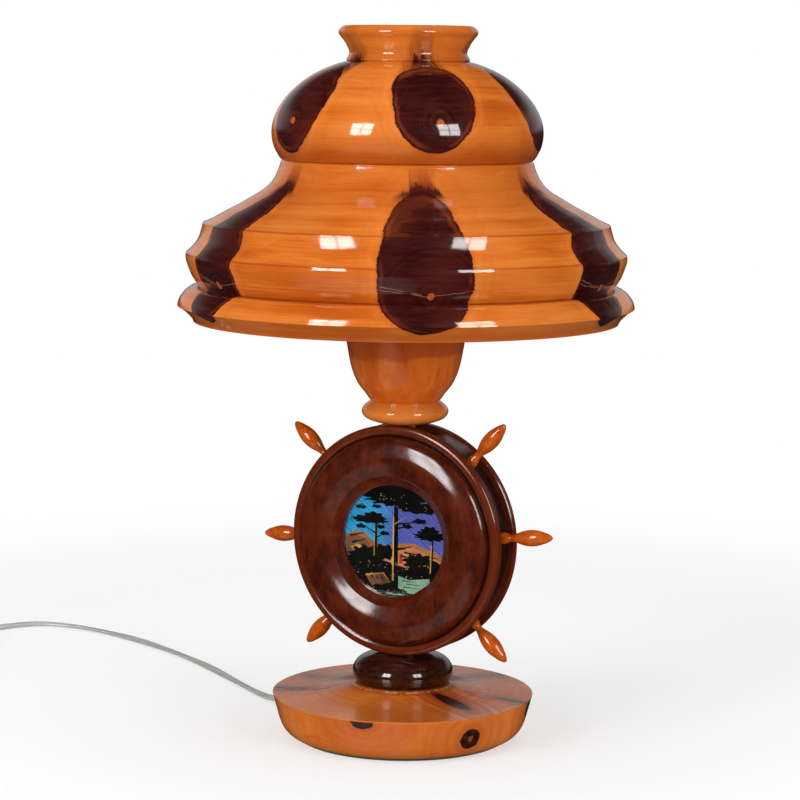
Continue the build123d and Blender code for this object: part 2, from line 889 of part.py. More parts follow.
def plug_body():
    """Moulded two-pin plug with its ribbed strain relief."""
    relief_l = 20.0
    relief = turned(
        Polyline((0, 0), (CORD_R + 0.8, 0), (CORD_R + 2.4, relief_l), (0, relief_l), (0, 0))
    )
    for step in range(4):
        relief -= tube(8.0, CORD_R + 0.4 + 0.3 * step, 2.6 + 4.2 * step, 4.0 + 4.2 * step)
    grip = extrude(RectangleRounded(PLUG_W, PLUG_T, PLUG_T / 2 - 0.2), PLUG_L)
    grip = chamfer(grip.edges().group_by(Axis.Z)[-1], 1.0)
    body = relief + Pos(0, 0, relief_l) * grip
    return tail_frame() * Pos(0, 0, TAIL_L) * body


def plug_pin(side):
    """Round pin of the plug."""
    low = TAIL_L + 20.0 + PLUG_L
    pin = rod(PIN_R, low, low + PIN_L)
    pin = chamfer(pin.edges().group_by(Axis.Z)[-1], 0.8)
    return tail_frame() * Pos(side * PIN_PITCH / 2, 0, 0) * pin


# --------------------------------------------------------------------- output


def all_parts():
    """Every subcomponent by its node name."""
    backing = PICTURE_FACE - GLASS_SUNK - GLASS_T - PANEL_T
    coil = cord_coil()
    parts = {
        "base": base(),
        "base_felt": base_felt(),
        "bun": bun(),
        "wheel_core": wheel_core(),
        "wheel_front_disc": wheel_front_disc(),
        "wheel_back_disc": wheel_back_disc(),
        "wheel_post_lower": post(WHEEL_Z - CORE_R + 3.0, BUN_TOP_Z),
        "wheel_post_upper": post(CUP_BOTTOM_Z, WHEEL_Z + CORE_R - 3.0),
        "picture_glass": picture_layer(PICTURE_R, PICTURE_FACE - GLASS_SUNK, GLASS_T),
        "picture_panel": picture_layer(PICTURE_R, backing + PANEL_T, PANEL_T),
        "picture_backing": picture_layer(PICTURE_R, backing, BACKING_T),
        "cup": cup(),
        "stem_tube": tube(TUBE_R, TUBE_BORE_R, TUBE_BOTTOM_Z, TUBE_TOP_Z),
        "stem_washer_lower": washer(COUNTERBORE_Z - WASHER_T),
        "stem_nut_lower": nut(COUNTERBORE_Z - WASHER_T - NUT_T),
        "stem_washer_upper": washer(CUP_FLOOR_Z),
        "stem_nut_upper": nut(CUP_FLOOR_Z + WASHER_T),
        "carrier_nut": nut(CAP_BOTTOM_Z - HUB_T - NUT_T),
        "shade_carrier": shade_carrier(),
        "socket_cap": socket_cap(),
        "socket_shell": socket_shell(),
        "socket_liner": socket_liner(),
        "socket_core": socket_core(),
        "socket_screw_shell": screw_shell(),
        "socket_contact": centre_contact(),
        "terminal_screw_left": terminal_screw(-1),
        "terminal_screw_right": terminal_screw(1),
        "switch_shaft": switch_shaft(),
        "switch_knob": switch_knob(),
        "bulb_glass": bulb_glass(),
        "bulb_cap": bulb_cap(),
        "bulb_insulator": bulb_insulator(),
        "bulb_contact": bulb_contact(),
        "bulb_mount": bulb_mount(),
        "bulb_filament": bulb_filament(),
        "shade_dome": shade_dome(),
        "shade_skirt": shade_skirt(),
        "inner_lead": inner_lead(),
        "cord_grommet": cord_grommet(),
        "cord_run": cord_run(coil),
        "cord_coil": coil,
        "cord_tail": cord_tail(coil),
        "coil_tie": coil_tie(),
        "plug_body": plug_body(),
        "plug_pin_left": plug_pin(-1),
        "plug_pin_right": plug_pin(1),
    }
    for name, (angle, tip) in HANDLES.items():
        parts[f"wheel_handle_{name}"] = handle(angle, tip)
    for number, angle in enumerate(ARM_ANGLES, start=1):
        parts[f"carrier_pad_{number}"] = carrier_pad(angle + 60)
    return parts


def main():
    """Writes one STEP file for each subcomponent."""
    os.makedirs("parts", exist_ok=True)
    for name, shape in all_parts().items():
        export_step(shape, os.path.join("parts", f"{name}.step"))


main()
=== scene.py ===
"""Look of the turned-wood table lamp: camera, light, mains flex, materials and fine pieces."""

import math
import random

import bmesh
import bpy
from mathutils import Matrix, Vector


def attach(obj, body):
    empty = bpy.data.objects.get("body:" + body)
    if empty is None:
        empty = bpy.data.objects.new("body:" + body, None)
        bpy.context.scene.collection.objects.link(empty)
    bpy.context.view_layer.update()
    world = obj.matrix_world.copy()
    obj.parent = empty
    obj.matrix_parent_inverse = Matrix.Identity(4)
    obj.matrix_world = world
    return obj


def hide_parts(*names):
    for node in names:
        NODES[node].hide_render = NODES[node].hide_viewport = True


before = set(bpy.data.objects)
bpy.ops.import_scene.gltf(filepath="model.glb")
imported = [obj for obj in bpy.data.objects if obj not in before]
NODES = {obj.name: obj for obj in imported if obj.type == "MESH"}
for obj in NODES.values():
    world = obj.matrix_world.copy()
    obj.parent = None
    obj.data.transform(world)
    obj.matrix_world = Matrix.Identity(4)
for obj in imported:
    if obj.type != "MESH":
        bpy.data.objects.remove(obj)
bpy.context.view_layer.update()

# ---- camera

VIEW_ANGLE = 28.0
FRONT = VIEW_ANGLE - 90.0
CAMERA_DISTANCE = 1.851
CAMERA_HEIGHT = 0.4724
CAMERA_PITCH = 7.27
CAMERA_YAW = 0.110
CAMERA_ROLL = 0.50
CAMERA_LENS = 121.6


def add(name, data):
    """New object in the scene's collection."""
    obj = bpy.data.objects.new(name, data)
    bpy.context.scene.collection.objects.link(obj)
    return obj


def make_camera():
    """Camera at the lamp's shoulder height, well back with a long lens."""
    data = bpy.data.cameras.new("camera")
    data.lens = CAMERA_LENS
    data.clip_end = 60.0
    camera = add("camera", data)
    azimuth = math.radians(VIEW_ANGLE)
    place = Vector((math.sin(azimuth), -math.cos(azimuth), 0)) * CAMERA_DISTANCE
    place.z = CAMERA_HEIGHT
    turn = Matrix.Rotation(azimuth + math.radians(CAMERA_YAW), 4, "Z")
    turn @= Matrix.Rotation(math.radians(90 - CAMERA_PITCH), 4, "X")
    turn @= Matrix.Rotation(math.radians(CAMERA_ROLL), 4, "Z")
    camera.matrix_world = Matrix.Translation(place) @ turn
    bpy.context.scene.camera = camera


make_camera()

# ---- mains flex

FLOOR_Z = 0.0019
FLEX_WIDTH = 0.0054
FLEX_THICK = 0.0028
STRAND_R = 0.00088
FLEX_ROUTE = (
    (-0.09062, 0.02092, 0.0090),
    (-0.10377, 0.02396, 0.0088),
    (-0.1288, 0.0357, FLOOR_Z),
    (-0.1716, 0.0650, FLOOR_Z),
    (-0.2340, 0.1100, FLOOR_Z),
    (-0.2993, 0.1455, FLOOR_Z),
    (-0.3571, 0.1669, FLOOR_Z),
    (-0.4048, 0.1755, FLOOR_Z),
    (-0.4372, 0.1662, FLOOR_Z),
    (-0.4524, 0.1309, 0.0021),
    (-0.4693, 0.1010, 0.0029),
)
COIL_CENTRE = Vector((-0.4555, 0.0544, 0))
COIL_IN_R = 0.0204
COIL_OUT_R = 0.0378
COIL_LAYER_Z = (0.0037, 0.0091)
COIL_START = math.radians(145.4)
COIL_END = math.radians(208.0)
COIL_TURNS = 7
COIL_STEPS = 15
TAIL_LENGTH = 0.0265
TAIL_Z = 0.0074


def smooth(low, high, value):
    """Smooth step from 0 to 1."""
    t = min(max((value - low) / (high - low), 0.0), 1.0)
    return t * t * (3 - 2 * t)


def coil_points():
    """The coil's turns: in along the first layer, up, and out along the second."""
    sweep = COIL_TURNS * 2 * math.pi + COIL_END - COIL_START
    count = round(sweep / (2 * math.pi) * COIL_STEPS)
    widen = 1 / math.cos(math.pi / COIL_STEPS)
    points = []
    for i in range(count + 1):
        t = i / count
        angle = COIL_START + sweep * t
        radius = COIL_IN_R + (COIL_OUT_R - COIL_IN_R) * abs(2 * t - 1)
        radius *= widen if 0 < i < count else 1
        rise = smooth(0.49, 0.53, t)
        height = COIL_LAYER_Z[0] + (COIL_LAYER_Z[1] - COIL_LAYER_Z[0]) * rise
        spot = COIL_CENTRE + Vector((math.cos(angle), math.sin(angle), 0)) * radius
        points.append((spot.x, spot.y, height))
    return points


def tail_points():
    """Last stretch, down from the coil and into the plug."""
    start = COIL_CENTRE + Vector((math.cos(COIL_END), math.sin(COIL_END), 0)) * COIL_OUT_R
    along = Vector((-math.sin(COIL_END), math.cos(COIL_END), 0))
    places = ((0.007, 0.0086), (0.016, TAIL_Z + 0.0002), (TAIL_LENGTH, TAIL_Z))
    return [tuple(start + along * far + Vector((0, 0, high))) for far, high in places]


def smooth_path(points, name):
    """Points along the NURBS curve that has these control points."""
    curve = bpy.data.curves.new(name, "CURVE")
    curve.dimensions = "3D"
    curve.resolution_u = 8
    spline = curve.splines.new("NURBS")
    spline.points.add(len(points) - 1)
    for target, point in zip(spline.points, points):
        target.co = (*point, 1)
    spline.order_u = 3
    spline.use_endpoint_u = True
    guide = bpy.data.objects.new(name, curve)
    line = bpy.data.meshes.new_from_object(guide)
    path = [vertex.co.copy() for vertex in line.vertices]
    bpy.data.objects.remove(guide)
    return path


def flex_twist(share):
    """Angle of the flat flex about its own line: nearly flat on the floor, on edge when coiled."""
    on_edge = smooth(0.20, 0.27, share)
    sway = 0.24 * math.sin(share * 95.0) * (1 - on_edge)
    return math.pi / 2 * on_edge + sway


def frames_along(path):
    """Centre, side and rise of the flex's section at each point of its path."""
    lengths = [0.0]
    for a, b in zip(path, path[1:]):
        lengths.append(lengths[-1] + (b - a).length)
    result = []
    for i, point in enumerate(path):
        ahead = path[min(i + 1, len(path) - 1)] - path[max(i - 1, 0)]
        ahead.normalize()
        side = ahead.cross(Vector((0, 0, 1))).normalized()
        rise = side.cross(ahead)
        angle = flex_twist(lengths[i] / lengths[-1])
        turned_side = side * math.cos(angle) + rise * math.sin(angle)
        turned_rise = rise * math.cos(angle) - side * math.sin(angle)
        result.append((point, turned_side, turned_rise, lengths[i]))
    return result


def twin_section():
    """Outline of the twin flex: two round cores joined by a thin web."""
    radius = FLEX_THICK / 2
    centre = FLEX_WIDTH / 2 - radius
    outline = []
    for side in (1, -1):
        for step in range(9):
            angle = math.radians(-116 + 29 * step)
            outline.append((side * (centre + radius * math.cos(angle)), side * radius * math.sin(angle)))
    return outline


def sweep_section(bm, frames, outline, material, uv):
    """Sweeps one closed outline along the frames into the mesh."""
    rows = []
    for point, side, rise, _ in frames:
        rows.append([bm.verts.new(point + side * x + rise * y) for x, y in outline])
    count = len(outline)
    for i in range(len(rows) - 1):
        for j in range(count):
            k = (j + 1) % count
            face = bm.faces.new((rows[i][j], rows[i][k], rows[i + 1][k], rows[i + 1][j]))
            face.material_index = material
            face.smooth = True
            for loop, (row, column) in zip(face.loops, ((i, j), (i, j + 1), (i + 1, j + 1), (i + 1, j))):
                loop[uv].uv = (column / count, frames[row][3])
    for row in (rows[0], rows[-1]):
        bm.faces.new(row).material_index = material


def make_flex():
    """Clear twin flex with its two stranded cores, and the path it follows."""
    points = list(FLEX_ROUTE) + coil_points() + tail_points()
    path = smooth_path(points, "flex_line")
    frames = frames_along(path)
    bm = bmesh.new()
    uv = bm.loops.layers.uv.new("along")
    sweep_section(bm, frames, twin_section(), 0, uv)
    core = FLEX_WIDTH / 2 - FLEX_THICK / 2
    for side in (-1, 1):
        circle = [
            (side * core + STRAND_R * math.cos(a), STRAND_R * math.sin(a))
            for a in (math.radians(45 * step) for step in range(8))
        ]
        sweep_section(bm, frames, circle, 1, uv)
    bmesh.ops.recalc_face_normals(bm, faces=bm.faces)
    mesh = bpy.data.meshes.new("flex")
    bm.to_mesh(mesh)
    bm.free()
    return add("flex", mesh), path


flex, flex_path = make_flex()
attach(flex, "lamp")
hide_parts("cord_run", "cord_coil", "cord_tail")

# ---- shader building


class Nodes:
    """Short names for the shader nodes of one tree, with its place in a space."""

    def __init__(self, tree, space):
        self.tree = tree
        self.place = self.add("ShaderNodeTexCoord").outputs[space]

    def feed(self, socket, value):
        """Gives a socket a plain value or a link."""
        if isinstance(value, bpy.types.NodeSocket):
            self.tree.links.new(value, socket)
        elif value is not None:
            socket.default_value = value

    def add(self, kind, settings=(), **values):
        """New node with its settings and its named inputs."""
        node = self.tree.nodes.new(kind)
        for name, value in dict(settings).items():
            setattr(node, name, value)
        for name, value in values.items():
            self.feed(node.inputs[name.replace("_", " ")], value)
        return node

    def math(self, operation, *values, clamp=False):
        """Arithmetic on one, two or three numbers."""
        node = self.add("ShaderNodeMath", {"operation": operation, "use_clamp": clamp})
        for socket, value in zip(node.inputs, values):
            self.feed(socket, value)
        return node.outputs[0]

    def fold(self, operation, values):
        """One operation carried through a row of numbers."""
        result = values[0]
        for value in values[1:]:
            result = self.math(operation, result, value)
        return result

    def total(self, *values):
        """Sum of several numbers."""
        return self.fold("ADD", values)

    def product(self, *values):
        """Product of several numbers."""
        return self.fold("MULTIPLY", values)

    def least(self, *values):
        """Smallest of several numbers."""
        return self.fold("MINIMUM", values)

    def most(self, *values):
        """Largest of several numbers."""
        return self.fold("MAXIMUM", values)

    def minus(self, first, second):
        """Difference of two numbers."""
        return self.math("SUBTRACT", first, second)

    def linear(self, value, scale, start):
        """A number scaled, and moved by a start."""
        return self.math("MULTIPLY_ADD", value, scale, start)

    def gap(self, first, second):
        """Unsigned difference of two numbers."""
        return self.math("ABSOLUTE", self.minus(first, second))

    def hypot(self, first, second):
        """Length whose sides are two numbers."""
        return self.math("SQRT", self.total(self.product(first, first), self.product(second, second)))

    def vector(self, operation, *values):
        """Outputs of arithmetic on one or two vectors."""
        node = self.add("ShaderNodeVectorMath", {"operation": operation})
        for socket, value in zip(node.inputs, values):
            self.feed(socket, value)
        return node.outputs

    def along(self, direction):
        """Length of the place along a direction."""
        return self.vector("DOT_PRODUCT", self.place, direction)["Value"]

    def stretched(self, scale, vector=None):
        """The place scaled differently along its axes."""
        return self.vector("MULTIPLY", vector or self.place, scale)["Vector"]

    def noise(self, scale, detail=2.0, rough=0.5, vector=None, distort=0.0):
        """Solid noise from 0 to 1."""
        node = self.add(
            "ShaderNodeTexNoise",
            Vector=vector or self.place,
            Scale=scale,
            Detail=detail,
            Roughness=rough,
            Distortion=distort,
        )
        return node.outputs["Fac"]

    def grain(self, scale, detail, rough, distort=0.0):
        """Solid noise drawn out along the axes that are scaled least."""
        return self.noise(1.0, detail, rough, self.stretched(scale), distort)

    def stripes(self, value, scale, detail=2.0, rough=0.6):
        """Random bands of a single number."""
        node = self.add(
            "ShaderNodeTexNoise",
            {"noise_dimensions": "1D"},
            W=value,
            Scale=scale,
            Detail=detail,
            Roughness=rough,
        )
        return node.outputs["Fac"]

    def cells(self, scale, feature="F1", vector=None):
        """Distance in a field of random cells."""
        settings = {"feature": feature}
        node = self.add("ShaderNodeTexVoronoi", settings, Vector=vector or self.place, Scale=scale)
        return node.outputs["Distance"]

    def step(self, low, high, value, start=0.0, end=1.0):
        """Smooth step between two values; low may be the larger."""
        node = self.add("ShaderNodeMapRange", {"interpolation_type": "SMOOTHSTEP"})
        if low > high:
            low, high, start, end = high, low, end, start
        names = ("Value", "From Min", "From Max", "To Min", "To Max")
        for name, given in zip(names, (value, low, high, start, end)):
            self.feed(node.inputs[name], given)
        return node.outputs["Result"]

    def mix(self, share, first, second, blend="MIX"):
        """Blend of two colours."""
        node = self.add("ShaderNodeMix", {"data_type": "RGBA", "blend_type": blend})
        self.feed(node.inputs[0], share)
        for socket, colour in zip((node.inputs[6], node.inputs[7]), (first, second)):
            self.feed(socket, (*colour, 1) if isinstance(colour, tuple) else colour)
        return node.outputs[2]

    def stain(self, colour, tint, *shares):
        """A colour stained with a tint, by the product of the shares."""
        return self.mix(self.product(*shares), colour, tint)

    def bump(self, height, distance, strength=1.0, normal=None):
        """Normal bent by a height."""
        node = self.add("ShaderNodeBump", Height=height, Distance=distance, Strength=strength)
        if normal:
            self.feed(node.inputs["Normal"], normal)
        return node.outputs["Normal"]


class Graph(Nodes):
    """The nodes of one new material, in the object's own space."""

    def __init__(self, name):
        self.material = bpy.data.materials.new(name)
        self.material.use_nodes = True
        super().__init__(self.material.node_tree, "Object")
        self.shader = self.tree.nodes["Principled BSDF"]
        self.x, self.y, self.z = self.add("ShaderNodeSeparateXYZ", Vector=self.place).outputs

    def finish(self, **values):
        """Sets the shader's inputs and returns the material."""
        for name, value in values.items():
            socket = self.shader.inputs[name.replace("_", " ")]
            if name.endswith("Color") and isinstance(value, tuple):
                value = (*value, 1)
            self.feed(socket, value)
        return self.material


# ---- landscape

SKY, BLACK, GOLD, OCHRE, ROSE, MINT, ROOF, RED = range(8)

# The sky stands this far behind the panel's face, and the paints share nearly all of that depth
SKY_DEPTH = 0.00045
PAINT_DEPTH = 0.00043


def panel_size(panel):
    """Centre, radius and front and back of the picture's panel."""
    spots = [vertex.co for vertex in panel.data.vertices]
    low = min(spot.z for spot in spots)
    high = max(spot.z for spot in spots)
    front = min(spot.y for spot in spots)
    back = max(spot.y for spot in spots)
    return (low + high) / 2, (high - low) / 2, front, back


def clump(x, z, wide, tall, lobes=9, flat=0.35):
    """Outline of a leafy clump: rounded lobes on top, flatter below."""
    outline = []
    for step in range(lobes * 6):
        angle = 2 * math.pi * step / (lobes * 6)
        lobe = 1 + 0.16 * math.sin(lobes * angle + 9 * x) + 0.07 * math.sin(2.7 * lobes * angle + 5 * z)
        drop = 1.0 if math.sin(angle) > 0 else 1 - flat
        outline.append((x + wide * lobe * math.cos(angle), z + tall * drop * lobe * math.sin(angle)))
    return outline


def bar(x, low, high, foot, top, lean=0.0):
    """Upright tapering bar, for a trunk."""
    return [(x - foot, low), (x + foot, low), (x + lean + top, high), (x + lean - top, high)]


def stroke(x0, z0, x1, z1, thick):
    """Thin brush stroke between two places."""
    away = Vector((z0 - z1, x1 - x0)).normalized() * thick
    end = away.y * 0.3
    return [(x0 - away.x, z0 - away.y), (x1, z1 - end), (x1, z1 + end), (x0 + away.x, z0 + away.y)]


def ground(points, floor=None):
    """Skyline closed downwards, along a level or along the picture's round edge."""
    if floor is None:
        turns = [math.radians(-4 * step) for step in range(5, 41)]
        return [*points, *((math.cos(turn), math.sin(turn)) for turn in turns)]
    return [(points[0][0], floor), *points, (points[-1][0], floor)]


def picture_shapes():
    """Layers of the painted landscape from the back, on a disc of radius 1."""
    layers = []

    def paint(colour, *shapes):
        layers.extend((colour, shape) for shape in shapes)

    ridge = [(-1.0, 0.02), (-0.80, 0.12), (-0.60, 0.10), (-0.42, -0.06), (-0.15, -0.10)]
    ridge += [(0.12, -0.04), (0.40, -0.02), (0.62, -0.10), (0.82, -0.14), (1.0, -0.24)]
    paint(OCHRE, ground(ridge, -0.62))
    paint(ROSE, ground([(-0.24, -0.24), (0.05, -0.12), (0.34, -0.08), (0.62, -0.18), (0.92, -0.30)], -0.50))
    paint(ROOF, ground([(-1.0, -0.02), (-0.82, 0.05), (-0.58, 0.00), (-0.50, -0.10)], -0.34))
    paint(RED, bar(0.13, -0.40, -0.22, 0.035, 0.028))
    paint(GOLD, clump(-0.74, -0.20, 0.13, 0.07, 5), clump(0.30, -0.26, 0.12, 0.05, 6))
    rising = ((-0.90, 0.02, 0.30), (-0.86, -0.10, 0.26), (-0.20, -0.20, 0.42), (0.02, -0.15, 0.34))
    for x, z, reach in rising:
        paint(BLACK, stroke(x, z, x + reach, z + 0.07, 0.020))
    falling = ((0.12, -0.26, 0.30), (0.20, -0.19, 0.34), (0.60, -0.22, 0.28), (0.16, -0.33, 0.22))
    for x, z, reach in falling:
        paint(BLACK, stroke(x, z, x + reach, z - 0.03, 0.018))

    # dark bushes over the middle, with a roof and a pale meadow below
    paint(BLACK, clump(-0.56, -0.34, 0.34, 0.20, 11, 0.0), clump(-0.20, -0.22, 0.24, 0.13, 8, 0.0))
    paint(BLACK, clump(0.50, -0.36, 0.30, 0.16, 10, 0.0), clump(0.86, -0.44, 0.20, 0.13, 7, 0.0))
    mass = [(-1.0, -0.36), (-0.70, -0.30), (-0.36, -0.34), (-0.08, -0.40)]
    mass += [(0.20, -0.46), (0.62, -0.42), (1.0, -0.46)]
    paint(BLACK, ground(mass))
    paint(ROOF, [(-0.58, -0.66), (-0.22, -0.58), (-0.08, -0.76), (-0.46, -0.84)])
    paint(GOLD, stroke(-0.58, -0.66, -0.22, -0.60, 0.014), stroke(-0.22, -0.60, -0.08, -0.76, 0.012))
    for x in (-0.46, -0.36, -0.26):
        paint(BLACK, stroke(x, -0.66, x + 0.08, -0.78, 0.014))
    paint(MINT, [(0.08, -0.62), (0.30, -0.68), (0.70, -0.62), (0.74, -0.74), (0.40, -0.93), (0.08, -0.90)])
    for z, start, end in ((-0.70, 0.16, 0.44), (-0.75, 0.24, 0.52), (-0.81, 0.18, 0.46)):
        paint(BLACK, stroke(start, z, end, z - 0.01, 0.010))
    paint(MINT, clump(-0.02, -0.955, 0.22, 0.025, 7), clump(0.66, -0.70, 0.06, 0.05, 5))
    paint(BLACK, clump(0.12, -0.90, 0.13, 0.05, 7), clump(-0.30, -0.90, 0.20, 0.09, 9, 0.0))

    # three umbrella-crowned trees
    paint(BLACK, bar(-0.38, -0.45, 0.30, 0.030, 0.020, 0.01), bar(0.74, -0.55, 0.16, 0.024, 0.016, 0.02))
    paint(GOLD, bar(-0.410, -0.30, 0.20, 0.010, 0.007, 0.01), bar(0.715, -0.52, -0.02, 0.010, 0.008, 0.02))
    paint(BLACK, clump(-0.50, 0.33, 0.36, 0.085, 11), clump(-0.68, 0.55, 0.11, 0.05, 5))
    paint(BLACK, clump(-0.68, 0.20, 0.10, 0.05, 5), clump(-0.20, 0.11, 0.10, 0.045, 5))
    paint(BLACK, clump(-0.42, 0.40, 0.20, 0.08, 7))
    paint(BLACK, clump(-0.28, 0.22, 0.09, 0.045, 5), clump(-0.36, 0.58, 0.10, 0.04, 5))
    paint(BLACK, stroke(-0.38, 0.02, -0.20, 0.12, 0.016), stroke(-0.38, 0.10, -0.66, 0.25, 0.016))
    paint(BLACK, clump(0.72, 0.13, 0.31, 0.11, 11), clump(0.70, 0.22, 0.17, 0.09, 7))
    paint(BLACK, bar(0.02, -0.95, 0.70, 0.055, 0.038, 0.01))
    paint(GOLD, bar(-0.030, -0.72, 0.42, 0.014, 0.009, 0.01), stroke(0.0, 0.30, 0.22, 0.44, 0.008))
    paint(BLACK, clump(0.02, 0.74, 0.60, 0.19, 13), clump(0.48, 0.60, 0.42, 0.12, 9))
    paint(BLACK, clump(-0.18, 0.88, 0.62, 0.20, 8), clump(0.36, 0.86, 0.36, 0.14, 7))
    paint(BLACK, clump(0.25, 0.27, 0.10, 0.05, 5), clump(0.50, 0.38, 0.13, 0.055, 5))
    paint(BLACK, stroke(0.04, 0.22, 0.26, 0.28, 0.018), stroke(0.04, 0.30, 0.50, 0.38, 0.018))

    # specks of gold, rose and green over the dark places
    chance = random.Random(11)
    for index in range(110):
        x, z = chance.uniform(-0.85, 0.85), chance.uniform(-0.92, -0.38)
        if index % 4 == 0:
            x, z = chance.uniform(-0.75, 0.75), chance.uniform(0.42, 0.86)
        size = chance.uniform(0.006, 0.013)
        colour = chance.choice((GOLD, GOLD, OCHRE, MINT, ROSE))
        paint(colour, [(x - size, z), (x, z - size), (x + size * 1.5, z), (x, z + size)])
    return layers


def make_picture():
    """Painted picture under the glass: a board and thin flat layers of colour on it."""
    middle, radius, front, back = panel_size(NODES["picture_panel"])
    bm = bmesh.new()
    sky = front + SKY_DEPTH
    count = 96
    rings = []
    for depth in (sky, back):
        ring = []
        for step in range(count):
            angle = 2 * math.pi * step / count
            ring.append(bm.verts.new((radius * math.cos(angle), depth, middle + radius * math.sin(angle))))
        rings.append(ring)
    bm.faces.new(rings[0]).material_index = SKY
    bm.faces.new(rings[1][::-1])
    for step in range(count):
        after = (step + 1) % count
        bm.faces.new((rings[0][after], rings[0][step], rings[1][step], rings[1][after]))
    shapes = picture_shapes()
    for index, (colour, outline) in enumerate(shapes):
        depth = sky - PAINT_DEPTH * (index + 1) / len(shapes)
        corners = []
        for x, z in outline:
            pull = min(1.0, 1.0 / max(math.hypot(x, z), 0.001)) * radius
            corners.append(bm.verts.new((x * pull, depth, middle + z * pull)))
        face = bm.faces.new(corners)
        face.normal_update()
        if face.normal.y > 0:
            face.normal_flip()
        face.material_index = colour
    mesh = bpy.data.meshes.new("landscape")
    bm.to_mesh(mesh)
    bm.free()
    return add("landscape", mesh)


landscape = make_picture()
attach(landscape, "lamp")
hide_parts("picture_panel")

# ---- floor and light

# Brightness of the room and its floor as plain light, then as the lacquer reflects them
ROOM_LIGHT = 0.42
FLOOR_BOUNCE = 0.72
ROOM_GLOSS = 0.01
FLOOR_GLOSS = 0.02
BACKDROP_GLOSS = 0.45
FLOOR_PATCH_GLOSS = 0.45

# Floor disc and lights, in metres
FLOOR_R = 0.75
FLOOR_GLOW = 0.55
FLOOR_BACK = 0.30
FLOOR_DROP = 0.0003
WINDOW_AIM = Vector((0, 0, 0.30))
WINDOW_DISTANCE = 2.4
WINDOW_LIFT = 0.04
PANE_SIZE = (0.35, 0.52)
PANE_PITCH = (0.195, 0.285)
LIGHT_AIM = Vector((0, 0, 0.25))
LIGHT_DISTANCE = 2.6


def direction(right_of_view, elevation):
    """Unit vector at an angle right of the camera and above the level."""
    azimuth = math.radians(FRONT + right_of_view)
    level = math.cos(math.radians(elevation))
    return Vector((math.cos(azimuth) * level, math.sin(azimuth) * level, math.sin(math.radians(elevation))))


def area_light(name, place, target, size, power, gloss):
    """Rectangular soft light aimed at a point, for the lacquer's highlights or for the light itself."""
    data = bpy.data.lights.new(name, "AREA")
    data.shape = "RECTANGLE"
    data.size, data.size_y = size
    data.energy = power
    light = add(name, data)
    light.location = place
    light.rotation_euler = (target - place).to_track_quat("-Z", "Y").to_euler()
    light.visible_camera = False
    light.visible_glossy = gloss
    light.visible_diffuse = not gloss


def window(name, right_of_view, elevation, power):
    """Tall window of four panes, as the lacquer reflects it."""
    outward = direction(right_of_view, elevation)
    centre = WINDOW_AIM + outward * WINDOW_DISTANCE
    side = outward.cross(Vector((0, 0, 1))).normalized()
    upward = side.cross(outward)
    for column in (-1, 1):
        for row in (-1, 1):
            place = centre + side * column * PANE_PITCH[0] + upward * (row * PANE_PITCH[1] + WINDOW_LIFT)
            area_light(f"{name}_{column}_{row}", place, place - outward, PANE_SIZE, power / 4, True)


def make_light():
    """Two windows in front, soft light from the front and above, and a pale room."""
    window("window_left", -39, 17, 44)
    window("window_right", 35, 17, 34)
    area_light("front_left", direction(-46, 24) * LIGHT_DISTANCE, LIGHT_AIM, (1.4, 1.4), 40, False)
    area_light("front_right", direction(42, 20) * LIGHT_DISTANCE, LIGHT_AIM, (1.4, 1.4), 28, False)
    area_light("overhead", Vector((0, 0, 2.4)), LIGHT_AIM, (3.0, 3.0), 27, False)
    world = bpy.data.worlds.new("world")
    bpy.context.scene.world = world
    world.use_nodes = True
    room = Nodes(world.node_tree, "Generated")
    rays = room.add("ShaderNodeLightPath").outputs

    def towards(vector, low, high, start, end):
        """Value that goes from start to end as the ray turns towards a direction."""
        return room.step(low, high, room.along(vector), start, end)

    def either(ray, otherwise, chosen):
        """The second value for one kind of ray, the first for all others."""
        choose = room.add("ShaderNodeMix")
        for socket, value in zip((choose.inputs[0], *choose.inputs[2:4]), (rays[ray], otherwise, chosen)):
            room.feed(socket, value)
        return choose.outputs[0]

    up = (0, 0, 1)
    backdrop = towards(direction(180, 5), 0.40, 0.90, 0.0, BACKDROP_GLOSS)
    above_floor = towards(up, -0.02, 0.08, 0.0, 1.0)
    below_top = towards(up, 0.22, 0.45, 1.0, 0.0)
    lower = towards(up, -0.35, -0.02, FLOOR_GLOSS, ROOM_GLOSS)
    patch = towards(direction(-33, -45), 0.86, 0.94, 0.0, FLOOR_PATCH_GLOSS)
    gloss = room.total(room.product(backdrop, above_floor, below_top), lower, patch)
    light = towards(up, -0.25, 0.10, FLOOR_BOUNCE, ROOM_LIGHT)
    strength = either("Is Camera Ray", either("Is Glossy Ray", light, gloss), 1.0)
    background = world.node_tree.nodes["Background"]
    room.feed(background.inputs["Strength"], strength)
    background.inputs["Color"].default_value = (1, 1, 1, 1)
    bpy.context.scene.view_settings.view_transform = "Standard"


def make_floor():
    """Plain pale round floor that fades into the white round it."""
    bm = bmesh.new()
    bmesh.ops.create_circle(bm, cap_ends=True, segments=128, radius=FLOOR_R)
    mesh = bpy.data.meshes.new("floor")
    bm.to_mesh(mesh)
    bm.free()
    floor = add("floor", mesh)
    floor.location = direction(180, 0) * FLOOR_BACK - Vector((0, 0, FLOOR_DROP))
    floor.visible_glossy = False
    floor.visible_diffuse = False
    g = Graph("floor")
    far = g.vector("LENGTH", g.place)["Value"]
    fade = g.step(0.40 * FLOOR_R, 0.97 * FLOOR_R, far, FLOOR_GLOW, 1.0)
    paint = {"Base_Color": g.mix(fade, (0.88, 0.875, 0.87), (0, 0, 0)), "Roughness": 0.75}
    glow = {"Emission_Color": (1, 1, 1), "Emission_Strength": fade, "Specular_IOR_Level": 0.0}
    mesh.materials.append(g.finish(**paint, **glow))


make_light()
make_floor()


